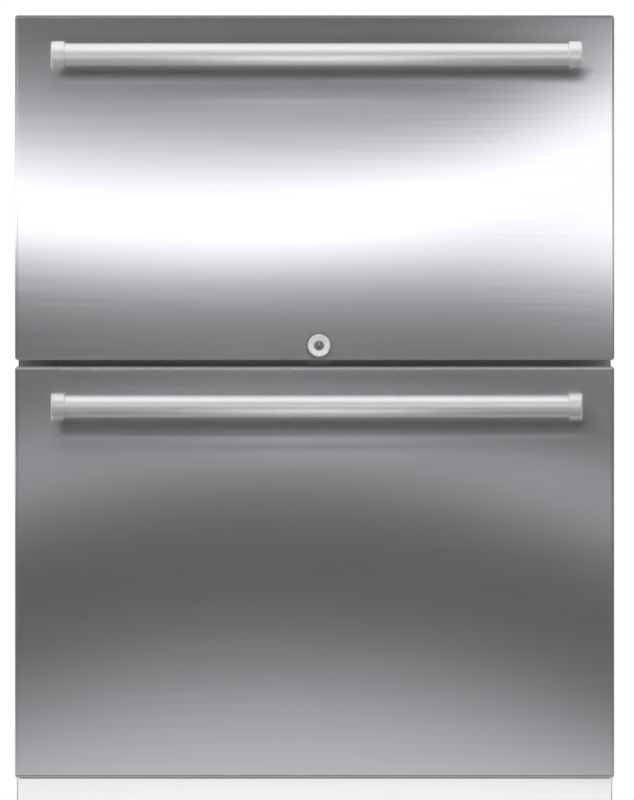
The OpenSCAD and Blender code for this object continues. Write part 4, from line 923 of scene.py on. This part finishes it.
# %% Seams
SEAM_IN, SEAM_W, SEAM_DEEP = 16 * MM, 0.9 * MM, 0.5 * MM
low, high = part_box("outer_shell")
back = bpy.data.objects["soft_outer_shell"]
step_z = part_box("rear_cover")[1].z
inner = Vector((high.x - SEAM_IN, 0, high.z - SEAM_IN))
ring = block("cutter", (-inner.x, high.y - SEAM_DEEP, step_z + SEAM_IN), (inner.x, high.y + MM, inner.z))
cut(ring, block("core", (SEAM_W - inner.x, high.y - MM, step_z + SEAM_IN + SEAM_W),
                (inner.x - SEAM_W, high.y + 2 * MM, inner.z - SEAM_W)))
cut(back, ring)
for side in (-1, 1):
    x = side * (high.x - SEAM_IN)
    cut(back, block("cutter", (x - SEAM_W / 2, low.y - MM, high.z - SEAM_DEEP),
                    (x + SEAM_W / 2, high.y + MM, high.z + MM)))
print("the shell has", len(back.data.polygons), "faces with its seams")

# %% [markdown]
# ### Screws
#
# All screws of the casing have the same pan head with a cross recess. It is modelled once and
# copied to where the node has a screw; the copies in the back are turned round.

# %% Screws
HEAD_R, HEAD_T, SHANK_R = 4 * MM, 2.2 * MM, 2 * MM
CROSS_LONG, CROSS_W, CROSS_DEEP = 2.3 * MM, 0.45 * MM, 1.3 * MM


def loose_boxes(name):
    """The low and high corners of each separate piece of a node."""
    mesh = bmesh.new()
    mesh.from_mesh(nodes[name].data)
    mesh.transform(nodes[name].matrix_world)
    bmesh.ops.remove_doubles(mesh, verts=mesh.verts, dist=0.01 * MM)
    left, boxes = set(mesh.verts), []
    while left:
        waiting, found = [left.pop()], []
        while waiting:
            vertex = waiting.pop()
            found.append(vertex.co.copy())
            near = {edge.other_vert(vertex) for edge in vertex.link_edges} & left
            left -= near
            waiting += near
        boxes.append((Vector(map(min, zip(*found))), Vector(map(max, zip(*found)))))
    mesh.free()
    return boxes


pan_head = rod("pan_head", HEAD_R, "Y", (0, -HEAD_T, 0), (0, 0, 0), 32)
pick(pan_head, "EDGE", lambda middle, way: middle.y < HAIR - HEAD_T)
soften(1.3 * MM, 4)
for wide, tall in ((CROSS_LONG, CROSS_W), (CROSS_W, CROSS_LONG)):
    cut(pan_head, block("cutter", (-wide, -2 * HEAD_T, -tall), (wide, CROSS_DEEP - HEAD_T, tall)))
screws = []
for low, high in loose_boxes("casing_screws"):
    middle = (low + high) / 2
    head = copy_of(pan_head, "screw")
    rear = middle.y > 0
    seat = high.y - HEAD_T if rear else low.y + HEAD_T
    head.location, head.rotation_euler.z = (middle.x, seat, middle.z), math.pi if rear else 0
    start, end = sorted((seat, low.y if rear else high.y))
    shank = rod("shank", SHANK_R, "Y", (middle.x, start, middle.z), (middle.x, end, middle.z), 16)
    screws += [head, shank]
bpy.data.objects.remove(pan_head)
ready(join("screws", screws), "cabinet", "screw_zinc", "casing_screws")

# %% Rivets on the slides
# Each drawer member of a slide is riveted to its carrier, and the heads sit in its channel.
RIVET_R, RIVET_T, RIVETS, RIVET_PITCH = 3.2 * MM, 1.1 * MM, 5, 92 * MM
RIVET_IN, RAIL_WEB = 24 * MM, 243.9 * MM
rivet = rod("rivet", RIVET_R, "X", (0, 0, 0), (RIVET_T, 0, 0), 24)
pick(rivet, "EDGE", lambda middle, way: middle.x > RIVET_T - HAIR)
soften(0.9 * MM, 4)
for which in ("upper", "lower"):
    low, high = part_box(which + "_slide_middles")
    heads = []
    for side in (-1, 1):
        for place in range(RIVETS):
            head = copy_of(rivet, "rivet")
            head.location = (side * RAIL_WEB, low.y + RIVET_IN + place * RIVET_PITCH, (low.z + high.z) / 2)
            head.rotation_euler.z = math.pi if side < 0 else 0
            heads.append(head)
    ready(join(which + "_rivets", heads), which + "_drawer", "slide_zinc")
bpy.data.objects.remove(rivet)

# %% [markdown]
# ### Feet
#
# A levelling foot is a rubber pad under a hexagon, on a threaded stem that screws into the base.
# The thread is drawn up from the hexagon's top: each turn is two short cones, one out and one in.

# %% Levelling feet
PAD_R, PAD_T, HEX_R, HEX_T, STEM_R = 17 * MM, 9 * MM, 10 * MM, 6 * MM, 5 * MM
PITCH, THREAD_IN = 1.5 * MM, 0.88


def foot(name):
    low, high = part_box("foot_" + name)
    x, y = (low.x + high.x) / 2, (low.y + high.y) / 2
    pad = rod("foot_pad", PAD_R, "Z", (x, y, low.z), (x, y, low.z + PAD_T), 64)
    pick(pad, "EDGE", lambda middle, way: abs(way.z) < 0.5)
    soften(1.6 * MM, 3)
    nut = rod("foot_hex", HEX_R, "Z", (x, y, low.z + PAD_T - HAIR), (x, y, low.z + PAD_T + HEX_T), 6)
    pick(nut, "EDGE", lambda middle, way: True)
    soften(0.6 * MM, 2)
    stem = rod("foot_stem", STEM_R, "Z", (x, y, low.z + PAD_T), (x, y, low.z + PAD_T + HEX_T), 32)
    pick(stem, "FACE", lambda middle, way: way.z > 0.99)
    turns = int((high.z - low.z - PAD_T - HEX_T) / PITCH)
    for _ in range(turns):
        for size in (THREAD_IN, 1 / THREAD_IN):
            push((0, 0, PITCH / 2))
            bpy.ops.transform.resize(value=(size, size, 1), center_override=(x, y, 0))
    body = body_of(nodes["foot_" + name])[0]
    ready(join("foot_" + name + "_piece", [pad, nut, stem]), body, "foot_plastic", "foot_" + name)


for name in ("front_left", "front_right", "rear_left", "rear_right"):
    foot(name)

# %% [markdown]
# ### Signs on the controls
#
# The display shows a temperature, and each key has its sign: a broken ring for the power, a minus
# for colder and a plus for warmer. They stand a tenth of a millimetre proud, as print does.

# %% Display and keys
PRINT = 0.1 * MM
LOOP_R, LOOP_WIRE = 1.7 * MM, 0.22 * MM


def front_middle(name):
    """The middle of the node's front face."""
    low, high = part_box(name)
    return Vector(((low.x + high.x) / 2, low.y, (low.z + high.z) / 2))


clear()
bpy.ops.object.text_add(rotation=TURNS["Y"])
words = bpy.context.object
words.data.body, words.data.size, words.data.extrude = "4 \u00b0C", 12 * MM, PRINT
words.data.align_x = words.data.align_y = "CENTER"
words.location = front_middle("display_window")
bpy.ops.object.convert(target="MESH")
ready(keep("display_digits"), "cabinet", "light_diffuser")


def key_sign(key, strokes):
    """Strokes on a key: half widths across and up, and how far up they lie, in millimetres."""
    at = front_middle("button_" + key)
    return [block("stroke", at + Vector((-wide * MM, -PRINT, (lift - tall) * MM)),
                  at + Vector((wide * MM, PRINT, (lift + tall) * MM))) for wide, tall, lift in strokes]


at = front_middle("button_power")
clear()
bpy.ops.mesh.primitive_torus_add(location=at, rotation=TURNS["Y"], major_radius=LOOP_R,
                                 minor_radius=LOOP_WIRE, major_segments=40, minor_segments=8)
loop = keep("loop")
pick(loop, "FACE", lambda middle, way: middle.z > at.z + 1.3 * MM)
bpy.ops.mesh.delete(type="FACE")
modify(loop, "SOLIDIFY", thickness=0.05 * MM, offset=-1)
for key, strokes in (("power", [(0.22, 1.0, 1.3)]), ("colder", [(1.7, 0.25, 0)]),
                     ("warmer", [(1.7, 0.25, 0), (0.25, 1.7, 0)])):
    parts = key_sign(key, strokes) + ([loop] if key == "power" else [])
    ready(join(key + "_sign", parts), key + "_key", "black_plastic")

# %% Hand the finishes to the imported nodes
for node in nodes.values():
    slot = node.data.materials[0].name
    if slot in finishes:
        node.data.materials[0] = finishes[slot]
